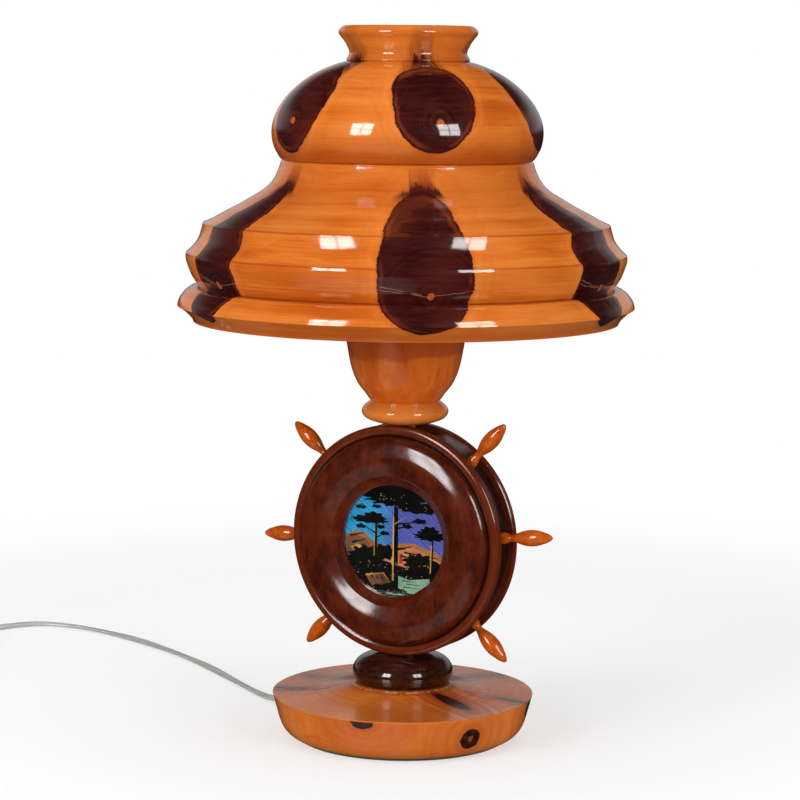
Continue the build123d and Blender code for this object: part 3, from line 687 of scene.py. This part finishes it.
def across(right_of_view):
    """Row-frame unit vectors towards an angle right of the view, and to its left."""
    angle = math.radians(FRONT + right_of_view)
    return (math.cos(angle), math.sin(angle), 0), (-math.sin(angle), math.cos(angle), 0)


# ---- pale whorled wood

# Colours from the clear wood to the knots, turns in degrees, and a distance that is past any knot
PALE = (0.67, 0.193, 0.029)
HONEY = (0.57, 0.124, 0.009)
AMBER = (0.40, 0.066, 0.004)
SMOKE = (0.120, 0.013, 0.003)
KNOT_DEEP = (0.022, 0.0017, 0.0014)
KNOT_RED = (0.068, 0.0085, 0.0065)
PITH = (0.42, 0.09, 0.02)
PITH_TURN = 1.5
SMOKE_TURN = 1.0
BEHIND = 20.0


def side_distance(g, angle):
    """Signed distance in metres round the surface from an angle, and whether it is behind."""
    outward, sideways = across(angle)
    return g.along(sideways), g.math("LESS_THAN", g.along(outward), 0.0)


def knot_distance(g, spot, jag):
    """Distance from a knot on an upright surface, 1 at its edge: (angle, height, half-width, up, down)."""
    angle, height, half_width, up, down = spot
    side, behind = side_distance(g, angle)
    level = g.minus(g.z, height)
    above = g.math("DIVIDE", g.most(level, 0.0), up)
    below = g.math("DIVIDE", g.least(level, 0.0), down)
    aside = g.math("DIVIDE", g.total(side, jag), half_width)
    return g.linear(behind, BEHIND, g.hypot(aside, g.total(above, below)))


def pith_distance(g, spot, height):
    """Distance in metres from a knot's pith, which is a little to the knot's right."""
    side, behind = side_distance(g, spot[0] + PITH_TURN)
    return g.total(behind, g.hypot(side, g.minus(g.z, height)))


def growth_rings(g, spacing):
    """Soft bands of a log that stands upright, as a value from 0 to 1."""
    radius = g.hypot(g.x, g.y)
    drift = g.math("MULTIPLY", g.noise(13.0, 2.0), spacing * 1.6)
    return g.stripes(g.total(radius, drift), 1 / spacing, 3.0)


def pale_wood(g, ring_spacing=0.006):
    """Colour of the clear wood between the knots."""
    rings = growth_rings(g, ring_spacing)
    clouds = g.noise(8.0, 2.0, 0.5)
    turning = g.stripes(g.z, 900.0, 2.0, 0.7)
    figure = g.grain((15.0, 15.0, 380.0), 3.0, 0.6)
    fine = g.grain((60.0, 60.0, 1700.0), 2.0, 0.6)
    tone = g.total(
        g.product(rings, 0.30),
        g.product(clouds, 0.85),
        g.product(turning, 0.14),
        g.product(figure, 0.12),
        g.product(fine, 0.18),
    )
    light = g.mix(g.step(0.66, 0.94, tone), HONEY, PALE)
    colour = g.mix(g.step(0.80, 0.54, tone), light, AMBER)
    flecks = g.step(0.68, 0.80, g.grain((130.0, 130.0, 1500.0), 2.0, 0.6))
    return g.stain(colour, (0.30, 0.046, 0.004), flecks, 0.22), turning


def shade_and_joint_bands(g, colour, bands):
    """Painted shade in the turned hollows and under the edges, and dark joint and ridge lines: (height,
    half-height, share).
    """
    for height, spread, share in bands:
        near = g.gap(g.z, height)
        colour = g.stain(colour, (0.30, 0.040, 0.003), g.step(spread, 0.0, near), share)
    return colour


def lacquer(g, colour, turning, coat_rough=0.045, tilt=0.00010, coat=1.0):
    """Finishes a material as lacquered turned wood."""
    ripple = g.noise(38.0, 1.0)
    normal = g.bump(g.linear(turning, 0.18, ripple), tilt)
    grain = g.noise(240.0, 3.0, 0.7)
    return g.finish(
        Base_Color=colour,
        Roughness=g.step(0.2, 0.8, grain, 0.34, 0.50),
        Specular_IOR_Level=0.04,
        Coat_Weight=coat,
        Coat_Roughness=g.step(0.3, 0.8, g.noise(70.0, 3.0), coat_rough, coat_rough + 0.05),
        Coat_IOR=1.5,
        Coat_Normal=normal,
        Normal=g.bump(grain, 0.00003, 0.5),
    )


def smoke(g, spots, pale, low, high, root, wisps):
    """Brown colour that drifts up out of each knot's top: a dark root and paler wisps above it."""
    rise = g.math("DIVIDE", g.minus(g.z, low), high - low, clamp=True)
    level = g.add("ShaderNodeCombineXYZ", X=g.x, Y=g.y).outputs[0]
    turn = g.stretched((26.0, 26.0, 26.0), g.vector("NORMALIZE", level)["Vector"])
    around = g.vector("ADD", turn, g.stretched((0.0, 0.0, 40.0)))["Vector"]
    streaks = g.noise(1.0, 3.0, 0.6, around, 0.4)
    billow = g.noise(70.0, 3.0, 0.6)
    sides = []
    for spot in spots:
        side, behind = side_distance(g, spot[0] + SMOKE_TURN)
        width = g.linear(g.step(0.45, 0.0, rise), spot[2] * 0.28, spot[2] * 0.38)
        sides.append(g.linear(behind, BEHIND, g.math("ABSOLUTE", g.math("DIVIDE", side, width))))
    side = g.least(*sides)
    ragged = g.total(side, g.product(streaks, -1.1), g.product(billow, -0.5), g.product(rise, 0.35))
    body = g.product(g.step(0.42, 0.02, ragged), g.step(0.0, 0.30, rise), g.step(1.0, 0.90, rise))
    thin = g.step(0.44, 0.66, streaks, 1.0, 0.55)
    fade = g.linear(g.step(0.35, 1.0, rise), -0.50, 1.0)
    rust = g.mix(g.step(0.25, 0.9, rise), SMOKE, (0.28, 0.040, 0.006))
    tip = g.total(rise, -root, g.product(streaks, -0.9), g.product(side, 0.22))
    core = g.step(0.02, -0.04, tip)
    rust = g.mix(core, rust, (0.062, 0.0080, 0.0035))
    thin = g.most(g.product(thin, wisps), core)
    return g.stain(pale, rust, body, fade, thin)


def light_checks(g, spots, height, far):
    """Fine pale cracks that run across a ring of knots through their piths."""
    wander = g.linear(g.noise(48.0, 4.0, 0.65), 0.0062, -0.0031)
    lines = []
    for spot in spots:
        side, behind = side_distance(g, spot[0] + PITH_TURN)
        span = g.math("ABSOLUTE", side)
        upper = g.math("ABSOLUTE", g.total(g.z, -height, g.product(span, -0.14), wander))
        lower = g.math("ABSOLUTE", g.total(g.z, -height, g.product(side, 0.22), wander))
        lower = g.total(lower, g.step(-0.006, 0.002, side))
        reach = g.step(spot[2] * 1.12, spot[2] * 0.98, span)
        line = g.step(0.00036, 0.00008, g.least(upper, lower))
        lines.append(g.product(line, reach, g.minus(1.0, behind)))
    broken = g.step(0.28, 0.44, g.noise(90.0, 2.0))
    return g.product(g.most(*lines), broken, g.step(1.22, 1.0, far))


def knotted_wood(name, spots, pith_height, ring_spacing, drift, bands, checked):
    """Pale turned wood with a ring of dark knots whose piths are at one height.

    drift holds the smoke's lowest and highest place, its root and the share of its wisps.
    """
    g = Graph(name)
    pale, turning = pale_wood(g, ring_spacing)
    jag = g.total(
        g.product(g.minus(g.stripes(g.z, 900.0, 3.0, 0.8), 0.5), 0.0022),
        g.product(g.minus(g.noise(110.0, 3.0, 0.6), 0.5), 0.0034),
    )
    warp = g.linear(g.noise(34.0, 2.0), 0.22, -0.11)
    far = g.total(g.least(*(knot_distance(g, spot, jag) for spot in spots)), warp)
    pith = g.least(*(pith_distance(g, spot, pith_height) for spot in spots))
    inside = g.step(1.010, 0.990, far)

    # a faint pale halo and soft darker rings close round each knot
    halo = g.product(g.step(1.0, 1.05, far), g.step(1.30, 1.08, far))
    pale = g.stain(pale, (0.70, 0.20, 0.030), halo, 0.30)
    wrap = g.stripes(g.total(far, g.product(g.noise(40.0, 3.0), 0.5)), 6.0, 0.0)
    near = g.step(1.9, 1.05, far)
    pale = g.stain(pale, (0.42, 0.070, 0.005), g.step(0.40, 0.75, wrap), near, 0.30)
    pale = shade_and_joint_bands(g, pale, bands)
    pale = smoke(g, spots, pale, *drift)

    # knot wood: deep red-brown with fine rings, a pith and light checks
    rings = g.stripes(g.total(pith, g.product(g.noise(45.0, 2.0), 0.008)), 420.0, 2.0)
    mottle = g.grain((45.0, 45.0, 420.0), 3.0, 0.6)
    cloud = g.noise(30.0, 2.0)
    tone = g.total(g.product(rings, 0.14), g.product(mottle, 0.55), g.product(cloud, 0.56))
    dark = g.mix(g.step(0.46, 0.86, tone), KNOT_DEEP, KNOT_RED)
    rust = g.step(0.50, 0.75, g.noise(28.0, 3.0))
    dark = g.stain(dark, (0.13, 0.018, 0.007), rust, g.step(0.45, 0.97, far), 0.40)
    circles = g.step(0.52, 0.62, rings)
    dark = g.stain(dark, (0.17, 0.030, 0.012), circles, g.step(0.016, 0.005, pith), 0.30)
    ragged = g.linear(g.noise(420.0, 3.0), 0.0030, pith)
    dark = g.mix(g.step(0.0044, 0.0036, ragged), dark, PITH)
    patchy = g.step(0.40, 0.60, g.noise(36.0, 2.0))
    ring = g.product(g.step(0.86, 0.91, far), g.step(0.97, 0.93, far), patchy)
    dark = g.stain(dark, (0.20, 0.032, 0.009), ring, 0.55)
    dark = g.stain(dark, (0.026, 0.003, 0.001), g.step(0.95, 0.99, far), 0.6)
    colour = g.mix(inside, pale, dark)
    if checked:
        colour = g.stain(colour, (0.34, 0.15, 0.08), light_checks(g, spots, pith_height, far), 0.7)
    return lacquer(g, colour, turning)


# Painted shade in the hollows and under the edges of dome and skirt, with their dark joint and ridge lines
DOME_SHADE_AND_JOINT_BANDS = ((0.4025, 0.024, 0.55), (0.4715, 0.010, 0.28), (0.4014, 0.0008, 0.9), (0.4870, 0.0060, 0.25))
SKIRT_SHADE_AND_JOINT_BANDS = (
    (0.3830, 0.0200, 0.22),
    (0.4014, 0.0008, 0.9),
    (0.3582, 0.0010, 0.55),
    (0.3382, 0.0012, 0.60),
    (0.3154, 0.0009, 0.80),
    (0.2940, 0.0085, 0.60),
)


def shade_wood():
    """The shade's dome and skirt, each with its ring of six knots."""
    dome = [(-58, 0.442, 0.028, 0.023, 0.034), (12.0, 0.442, 0.0285, 0.0232, 0.0335)]
    dome += [(77, 0.442, 0.028, 0.023, 0.033), (131, 0.443, 0.026, 0.021, 0.031)]
    dome += [(-172, 0.441, 0.027, 0.022, 0.033), (-115, 0.442, 0.026, 0.023, 0.034)]
    skirt = [(-59, 0.328, 0.0255, 0.056, 0.032), (4.7, 0.328, 0.0312, 0.057, 0.0305)]
    skirt += [(60, 0.328, 0.028, 0.056, 0.032), (122, 0.328, 0.027, 0.052, 0.033)]
    skirt += [(180, 0.328, 0.029, 0.055, 0.033), (-121, 0.328, 0.027, 0.052, 0.033)]
    dome_drift = (0.4560, 0.4935, 0.02, 0.62)
    skirt_drift = (0.3765, 0.4005, 0.15, 0.90)
    return (
        knotted_wood("shade_dome_wood", dome, 0.429, 0.0065, dome_drift, DOME_SHADE_AND_JOINT_BANDS, False),
        knotted_wood("shade_skirt_wood", skirt, 0.321, 0.0090, skirt_drift, SKIRT_SHADE_AND_JOINT_BANDS, True),
    )


def base_wood():
    """Base: a ring of small knots in its wall and brown figure running out over its top."""
    g = Graph("base_turned_wood")
    pale, turning = pale_wood(g, 0.008)
    jag = g.product(g.minus(g.noise(330.0, 3.0, 0.7), 0.5), 0.0052)
    walls = [(-17.5, 0.0300, 0.0084, 0.004, 0.0052), (32, 0.0158, 0.0076, 0.0074, 0.0074)]
    walls += [(78, 0.0280, 0.0080, 0.004, 0.0100), (128, 0.014, 0.006, 0.006, 0.006)]
    walls += [(-84, 0.0290, 0.0045, 0.004, 0.0120)]
    walls += [(173, 0.020, 0.007, 0.007, 0.007), (-132, 0.016, 0.006, 0.006, 0.006)]
    spots = g.least(*(knot_distance(g, spot, jag) for spot in walls))
    on_wall = g.step(0.0305, 0.0295, g.z)
    radius = g.hypot(g.x, g.y)
    drift = g.product(g.noise(40.0, 2.0), 0.9)

    # upright grain on the wall, and wide ovals of browner grain round its knots
    upright = g.grain((240.0, 240.0, 26.0), 3.0, 0.6, 0.3)
    pale = g.stain(pale, (0.44, 0.072, 0.005), g.step(0.48, 0.70, upright), on_wall, 0.30)
    pale = g.stain(pale, (0.74, 0.225, 0.035), g.step(0.46, 0.30, upright), on_wall, 0.30)
    # painted shade on the front of the wall and painted light on its right side
    front_painted_shade, right_painted_light = (g.step(0.035, 0.080, g.along(across(angle)[0])) for angle in (5, 68))
    pale = g.stain(pale, (0.46, 0.070, 0.003), front_painted_shade, on_wall, 0.45)
    pale = g.stain(pale, (0.80, 0.235, 0.036), right_painted_light, on_wall, 0.60)
    ovals = g.total(spots, drift)
    pale = g.stain(pale, (0.50, 0.085, 0.007), g.step(5.2, 3.6, ovals), on_wall, 0.40)
    wrap = g.product(g.step(0.42, 0.70, g.stripes(ovals, 1.6, 1.0, 0.4)), g.step(5.6, 2.2, spots))
    pale = g.stain(pale, (0.40, 0.060, 0.004), wrap, on_wall, 0.38)
    pale = g.stain(pale, (0.38, 0.055, 0.004), g.step(2.1, 1.2, spots), on_wall, 0.45)

    # figure over the top: (angle, middle radius, half-length, half-width, darkness)
    figure = [(-92, 0.078, 0.014, 0.0042, 0.75), (-122, 0.066, 0.018, 0.0052, 0.25)]
    figure += [(73, 0.079, 0.013, 0.0046, 0.75), (40, 0.054, 0.020, 0.0062, 1.0)]
    figure += [(130, 0.066, 0.020, 0.0056, 0.3), (175, 0.066, 0.020, 0.0056, 0.6)]
    on_top = g.step(0.0300, 0.0310, g.z)
    bend = g.product(g.minus(radius, 0.060), g.minus(radius, 0.060), 6.0)
    distances, cores = [], []
    for angle, middle, length, width, darkness in figure:
        outward, sideways = across(angle)
        forward = g.math("DIVIDE", g.minus(g.along(outward), middle), length)
        side = g.math("DIVIDE", g.total(g.along(sideways), bend, g.product(jag, 0.35)), width)
        away = g.hypot(forward, side)
        distances.append(away)
        cores.append(g.product(g.step(1.10, 0.75, away), darkness))
    flow = g.total(g.least(*distances), g.product(g.noise(30.0, 2.0), 0.8))
    brown = (0.24, 0.036, 0.005)
    pale = g.stain(pale, brown, g.step(3.0, 1.3, flow), on_top, 0.85)
    bands = g.step(0.44, 0.60, g.stripes(flow, 1.7, 1.0, 0.4))
    pale = g.stain(pale, brown, bands, g.step(7.0, 2.0, flow), on_top, 0.62)
    # darker patches over the top, strongest in a strip through the bun along the view: painted reflection
    # of the dark bun and wheel
    front = g.step(0.055, 0.010, g.math("ABSOLUTE", g.along(across(90)[0])))
    shade = g.step(0.42, 0.60, g.noise(19.0, 2.0))
    pale = g.stain(pale, (0.36, 0.052, 0.003), shade, on_top, g.linear(front, 0.45, 0.05))

    # the long crack from the bun to the left rim and down the wall
    outward, sideways = across(-88)
    wander = g.linear(g.noise(52.0, 3.0), 0.008, -0.004)
    line = g.math("ABSOLUTE", g.total(g.along(sideways), wander, g.product(bend, 0.5)))
    crack = g.product(g.step(0.00150, 0.00050, line), g.step(0.036, 0.040, g.along(outward)))

    on_rim = g.product(g.step(1.05, 0.95, spots), on_wall)
    inside = g.most(g.product(g.most(*cores), on_top), on_rim)
    mottle = g.noise(210.0, 3.0, 0.7)
    dark = g.mix(g.step(0.40, 0.70, mottle), (0.018, 0.0025, 0.0015), (0.070, 0.012, 0.005))
    heart = g.step(0.36, 0.20, spots)
    dark = g.stain(dark, (0.30, 0.07, 0.015), heart, g.step(0.027, 0.025, g.z), 0.7)
    colour = g.mix(g.most(inside, g.product(crack, 0.9)), pale, dark)

    # crumbs of old polish, and painted shade round the foot of the bun
    colour = g.stain(colour, (0.16, 0.022, 0.002), g.step(0.040, 0.035, radius), on_top, 0.6)
    ring = g.product(g.step(0.0011, 0.0004, g.gap(radius, 0.0353)), on_top)
    crust = g.step(0.48, 0.62, g.noise(460.0, 3.0, 0.7))
    colour = g.stain(colour, (0.52, 0.34, 0.14), ring, crust, 0.8)
    return lacquer(g, colour, turning, 0.17, coat=0.95)


# ---- plain turned woods


def straight_wood(name, light, dark, stretch, turned_along=None, coat_rough=0.05, pores=0.25):
    """Lacquered wood whose grain runs along the axis that is stretched least."""
    g = Graph(name)
    grain = g.grain(stretch, 4.0, 0.62, 0.25)
    clouds = g.noise(26.0, 3.0, 0.6)
    tone = g.total(g.product(grain, 0.75), g.product(clouds, 0.5))
    colour = g.mix(g.step(0.42, 0.84, tone), dark, light)
    specks = g.step(0.66, 0.76, g.grain(tuple(4.5 * s for s in stretch), 2.0, 0.6))
    colour = g.stain(colour, tuple(0.30 * c for c in dark), specks, pores)
    turning = g.stripes(turned_along(g) if turned_along else g.z, 800.0, 2.0, 0.7)
    return lacquer(g, colour, turning, coat_rough)


WHEEL_HEIGHT = 0.1398
GROOVE_R = 0.0733


def wheel_radius(g):
    """Distance from the wheel's axis, for turning marks on the discs."""
    level = g.minus(g.z, WHEEL_HEIGHT)
    return g.hypot(g.x, level)


def disc_wood():
    """Dark discs: red-brown, mottled, with warmer patches and a few dark blots."""
    g = Graph("disc_dark_wood")
    radius = wheel_radius(g)
    grain = g.grain((150.0, 230.0, 60.0), 5.0, 0.70, 0.4)
    mottle = g.noise(80.0, 5.0, 0.75)
    tone = g.total(g.product(grain, 0.65), g.product(mottle, 0.60))
    colour = g.mix(g.step(0.45, 0.86, tone), (0.036, 0.0034, 0.0010), (0.115, 0.0150, 0.0022))
    warm = g.step(0.52, 0.74, g.noise(20.0, 3.0))
    colour = g.stain(colour, (0.135, 0.0200, 0.0035), warm, 0.40)
    colour = g.stain(colour, (0.160, 0.0210, 0.0020), g.step(0.0725, 0.0745, radius), 0.50)
    blots = g.step(0.16, 0.08, g.cells(46.0))
    colour = g.stain(colour, (0.020, 0.003, 0.001), blots, g.step(0.5, 0.62, g.noise(33.0)), 0.5)
    # painted shade: a near-black line along the turned groove
    groove = g.step(0.0012, 0.0003, g.gap(radius, GROOVE_R))
    colour = g.stain(colour, (0.008, 0.002, 0.001), groove, 0.8)
    turning = g.stripes(radius, 900.0, 2.0, 0.7)
    return lacquer(g, colour, turning, 0.10, 0.00018, coat=0.85)


def core_wood():
    """Recessed core between the discs, darker than their wood: painted shade in the gap."""
    light, dark = (0.034, 0.010, 0.007), (0.010, 0.003, 0.002)
    return straight_wood("core_wood_painted_shade", light, dark, (60.0, 260.0, 60.0), None, 0.16)


def bun_wood():
    """Nearly black bun, speckled with reddish brown."""
    light, dark = (0.055, 0.011, 0.005), (0.016, 0.003, 0.0016)
    return straight_wood("bun_dark_wood", light, dark, (120.0, 120.0, 300.0), None, 0.05, 0.4)


def cup_wood():
    """Cup: orange-brown wood with broad upright figure, and painted shade round its top under the
    lampshade.
    """
    g = Graph("cup_turned_wood")
    pale, turning = pale_wood(g, 0.007)
    figure = g.grain((75.0, 75.0, 12.0), 2.0, 0.5, 0.3)
    colour = g.mix(g.step(0.36, 0.66, figure), (0.54, 0.096, 0.008), (0.68, 0.140, 0.014))
    lines = g.step(0.56, 0.70, g.grain((260.0, 260.0, 14.0), 3.0, 0.6, 0.2))
    colour = g.stain(colour, (0.34, 0.052, 0.004), lines, 0.40)
    # painted shade: a darker band with a wavy lower edge round the top of the cup, under the lampshade
    edge = g.linear(g.noise(34.0, 1.0), 0.016, g.z)
    colour = g.stain(colour, (0.33, 0.048, 0.003), g.step(0.2745, 0.2780, edge), 0.65)
    foot = g.step(0.2375, 0.2350, g.z)
    colour = g.mix(foot, colour, g.mix(0.35, pale, (0.80, 0.24, 0.045)))
    return lacquer(g, colour, turning)


def handle_wood():
    """Handles: bright orange-brown, finely grained."""
    light, dark = (0.58, 0.105, 0.005), (0.36, 0.047, 0.002)
    stretch = (210.0, 210.0, 210.0)
    return straight_wood("handle_turned_wood", light, dark, stretch, wheel_radius, 0.05, 0.35)


def post_wood():
    """Posts between the discs."""
    light, dark = (0.52, 0.19, 0.06), (0.30, 0.09, 0.02)
    return straight_wood("post_turned_wood", light, dark, (300.0, 300.0, 40.0), None, 0.2)


# ---- other materials


def felt():
    """Dark green felt."""
    g = Graph("felt_green")
    fibres = g.noise(2600.0, 4.0, 0.8)
    colour = g.mix(fibres, (0.012, 0.035, 0.016), (0.040, 0.085, 0.045))
    nap = g.bump(fibres, 0.0003)
    return g.finish(Base_Color=colour, Roughness=0.95, Sheen_Weight=0.6, Normal=nap, Specular_IOR_Level=0.1)


def metal(name, colour, rough, wear, stretch=(900.0, 900.0, 900.0)):
    """Metal with fine brushing, smudges and dulled patches."""
    g = Graph(name)
    brushed = g.grain(stretch, 3.0, 0.7)
    smudge = g.noise(90.0, 3.0, 0.6)
    tone = g.mix(g.step(0.40, 0.75, smudge), colour, wear)
    uneven = g.linear(smudge, 0.22, rough)
    return g.finish(Base_Color=tone, Metallic=1.0, Roughness=uneven, Normal=g.bump(brushed, 0.00002, 0.6))


def moulded(name, colour, other, rough, grain=900.0, **more):
    """Moulded plastic or rubber with a faint skin texture."""
    g = Graph(name)
    skin = g.noise(grain, 3.0, 0.6)
    tone = g.mix(g.step(0.35, 0.7, g.noise(60.0, 3.0)), colour, other)
    uneven = g.step(0.3, 0.7, g.noise(140.0, 2.0), rough, rough + 0.12)
    return g.finish(Base_Color=tone, Roughness=uneven, Normal=g.bump(skin, 0.00003, 0.5), **more)


def clear(name, tint, rough, ior, smear=0.04):
    """Clear glass or plastic, faintly uneven."""
    g = Graph(name)
    film = g.noise(45.0, 3.0)
    uneven = g.step(0.4, 0.8, film, rough, rough + smear)
    waves = g.bump(g.noise(24.0, 1.0), 0.00006, 0.4)
    look = {"IOR": ior, "Transmission_Weight": 1.0, "Specular_IOR_Level": 0.5}
    return g.finish(Base_Color=tint, Roughness=uneven, Normal=waves, **look)


def strand_metal():
    """Silvery stranded conductor, its lay winding round it."""
    g = Graph("strand_silver")
    mapping = g.add("ShaderNodeUVMap", {"uv_map": "along"}).outputs["UV"]
    parts = g.add("ShaderNodeSeparateXYZ", Vector=mapping).outputs
    lay = g.total(g.product(parts[0], 7.0), g.product(parts[1], 420.0))
    groove = g.math("ABSOLUTE", g.math("SINE", g.product(lay, 3.1416)))
    colour = g.mix(groove, (0.22, 0.20, 0.18), (0.80, 0.79, 0.76))
    return g.finish(Base_Color=colour, Metallic=0.9, Roughness=0.32, Normal=g.bump(groove, 0.0001))


def clear_jacket():
    """Clear flexible jacket of the flex, slightly grey and greasy."""
    g = Graph("jacket_clear")
    film = g.noise(300.0, 3.0)
    tint = g.mix(film, (0.90, 0.92, 0.90), (0.97, 0.98, 0.96))
    uneven = g.step(0.3, 0.7, film, 0.06, 0.20)
    return g.finish(
        Base_Color=tint, Roughness=uneven, IOR=1.40, Transmission_Weight=0.72, Specular_IOR_Level=0.5
    )


def wing_sky():
    """Sky of veined foil, turquoise on the left and violet on the right."""
    g = Graph("picture_sky")
    blend = g.linear(g.noise(160.0, 3.0), 0.012, g.x)
    colour = g.mix(g.step(-0.012, 0.010, blend), (0.001, 0.36, 0.70), (0.085, 0.090, 0.43))
    veins = g.stripes(g.along((0.62, 0.0, 0.78)), 800.0, 2.0, 0.8)
    colour = g.stain(colour, (0.010, 0.035, 0.17), g.step(0.42, 0.62, veins), 0.72)
    fine = g.stripes(g.along((0.80, 0.0, -0.60)), 1100.0, 3.0, 0.8)
    colour = g.stain(colour, (0.16, 0.40, 0.72), g.step(0.54, 0.75, fine), 0.40)
    uneven = g.step(0.3, 0.7, veins, 0.42, 0.60)
    return g.finish(Base_Color=colour, Roughness=uneven, Specular_IOR_Level=0.3)


def picture_paints():
    """Sky and paints of the picture, in the order of its colour numbers."""
    paints = {
        "black": ((0.0015, 0.0015, 0.0015), (0.004, 0.0035, 0.003)),
        "gold": ((0.62, 0.36, 0.06), (0.40, 0.20, 0.03)),
        "ochre": ((0.42, 0.16, 0.035), (0.22, 0.075, 0.020)),
        "rose": ((0.60, 0.22, 0.11), (0.38, 0.11, 0.050)),
        "mint": ((0.24, 0.40, 0.30), (0.14, 0.27, 0.19)),
        "roof": ((0.20, 0.085, 0.040), (0.09, 0.035, 0.020)),
        "red": ((0.46, 0.040, 0.015), (0.28, 0.020, 0.010)),
    }
    materials = [wing_sky()]
    for name, pair in paints.items():
        materials.append(moulded(f"picture_{name}", *pair, 0.6, 2400.0, Specular_IOR_Level=0.06))
    return materials


def dress_nodes():
    """Gives each CAD node the look with the longest name that the node's own name starts with."""
    dome, skirt = shade_wood()
    steel = metal("steel_zinc", (0.55, 0.56, 0.58), 0.24, (0.38, 0.38, 0.38))
    brass = metal("brass_lacquered", (0.80, 0.56, 0.22), 0.16, (0.56, 0.36, 0.13), (60.0, 60.0, 2200.0))
    drawn, spun = (1200.0, 1200.0, 200.0), (90.0, 90.0, 2600.0)
    flex_clear = clear_jacket()
    looks = {
        "base": base_wood(),
        "base_felt": felt(),
        "bun": bun_wood(),
        "wheel_": disc_wood(),
        "wheel_core": core_wood(),
        "wheel_handle": handle_wood(),
        "wheel_post": post_wood(),
        "cup": cup_wood(),
        "shade_dome": dome,
        "shade_skirt": skirt,
        "picture_glass": clear("picture_glass_clear", (0.97, 0.98, 0.97), 0.0, 1.45, 0.015),
        "picture_backing": moulded("backing_card", (0.30, 0.22, 0.13), (0.24, 0.17, 0.10), 0.85, 500.0),
        "stem_": steel,
        "stem_tube": metal("tube_steel", (0.50, 0.50, 0.50), 0.30, (0.33, 0.31, 0.29), drawn),
        "carrier_nut": steel,
        "carrier_pad": moulded("insulator_white", (0.72, 0.70, 0.64), (0.62, 0.60, 0.54), 0.35),
        "shade_carrier": metal("carrier_steel", (0.58, 0.58, 0.60), 0.22, (0.42, 0.42, 0.42)),
        "socket_": brass,
        "socket_liner": moulded("liner_card", (0.20, 0.15, 0.10), (0.15, 0.11, 0.07), 0.8),
        "socket_core": moulded("core_black", (0.020, 0.018, 0.017), (0.035, 0.030, 0.027), 0.28),
        "switch_shaft": brass,
        "switch_knob": moulded("knob_black", (0.014, 0.013, 0.013), (0.024, 0.022, 0.021), 0.22),
        "terminal_screw": brass,
        "bulb_glass": clear("bulb_glass_clear", (0.97, 0.98, 0.98), 0.0, 1.45, 0.02),
        "bulb_cap": metal("bulb_cap_nickel", (0.66, 0.64, 0.60), 0.24, (0.48, 0.46, 0.42), spun),
        "bulb_insulator": moulded("bulb_black_glass", (0.012, 0.012, 0.014), (0.02, 0.02, 0.022), 0.12),
        "bulb_contact": metal("bulb_solder", (0.52, 0.51, 0.49), 0.34, (0.38, 0.37, 0.36)),
        "bulb_mount": clear("bulb_stem_glass", (0.93, 0.95, 0.96), 0.03, 1.45),
        "bulb_filament": metal("filament_tungsten", (0.20, 0.19, 0.18), 0.40, (0.12, 0.11, 0.11)),
        "inner_lead": flex_clear,
        "cord_grommet": moulded("grommet_clear_grey", (0.62, 0.63, 0.60), (0.52, 0.53, 0.50), 0.30),
        "coil_tie": moulded("tie_black", (0.03, 0.03, 0.03), (0.05, 0.05, 0.05), 0.6, 700.0),
        "plug_body": moulded("plug_white", (0.80, 0.80, 0.77), (0.72, 0.72, 0.68), 0.32),
        "plug_pin": brass,
    }
    for name, node in NODES.items():
        starts = [start for start in looks if name.startswith(start)]
        for slot in node.material_slots if starts else ():
            slot.material = looks[max(starts, key=len)]
    flex.data.materials.append(flex_clear)
    flex.data.materials.append(strand_metal())
    for paint in picture_paints():
        landscape.data.materials.append(paint)


dress_nodes()
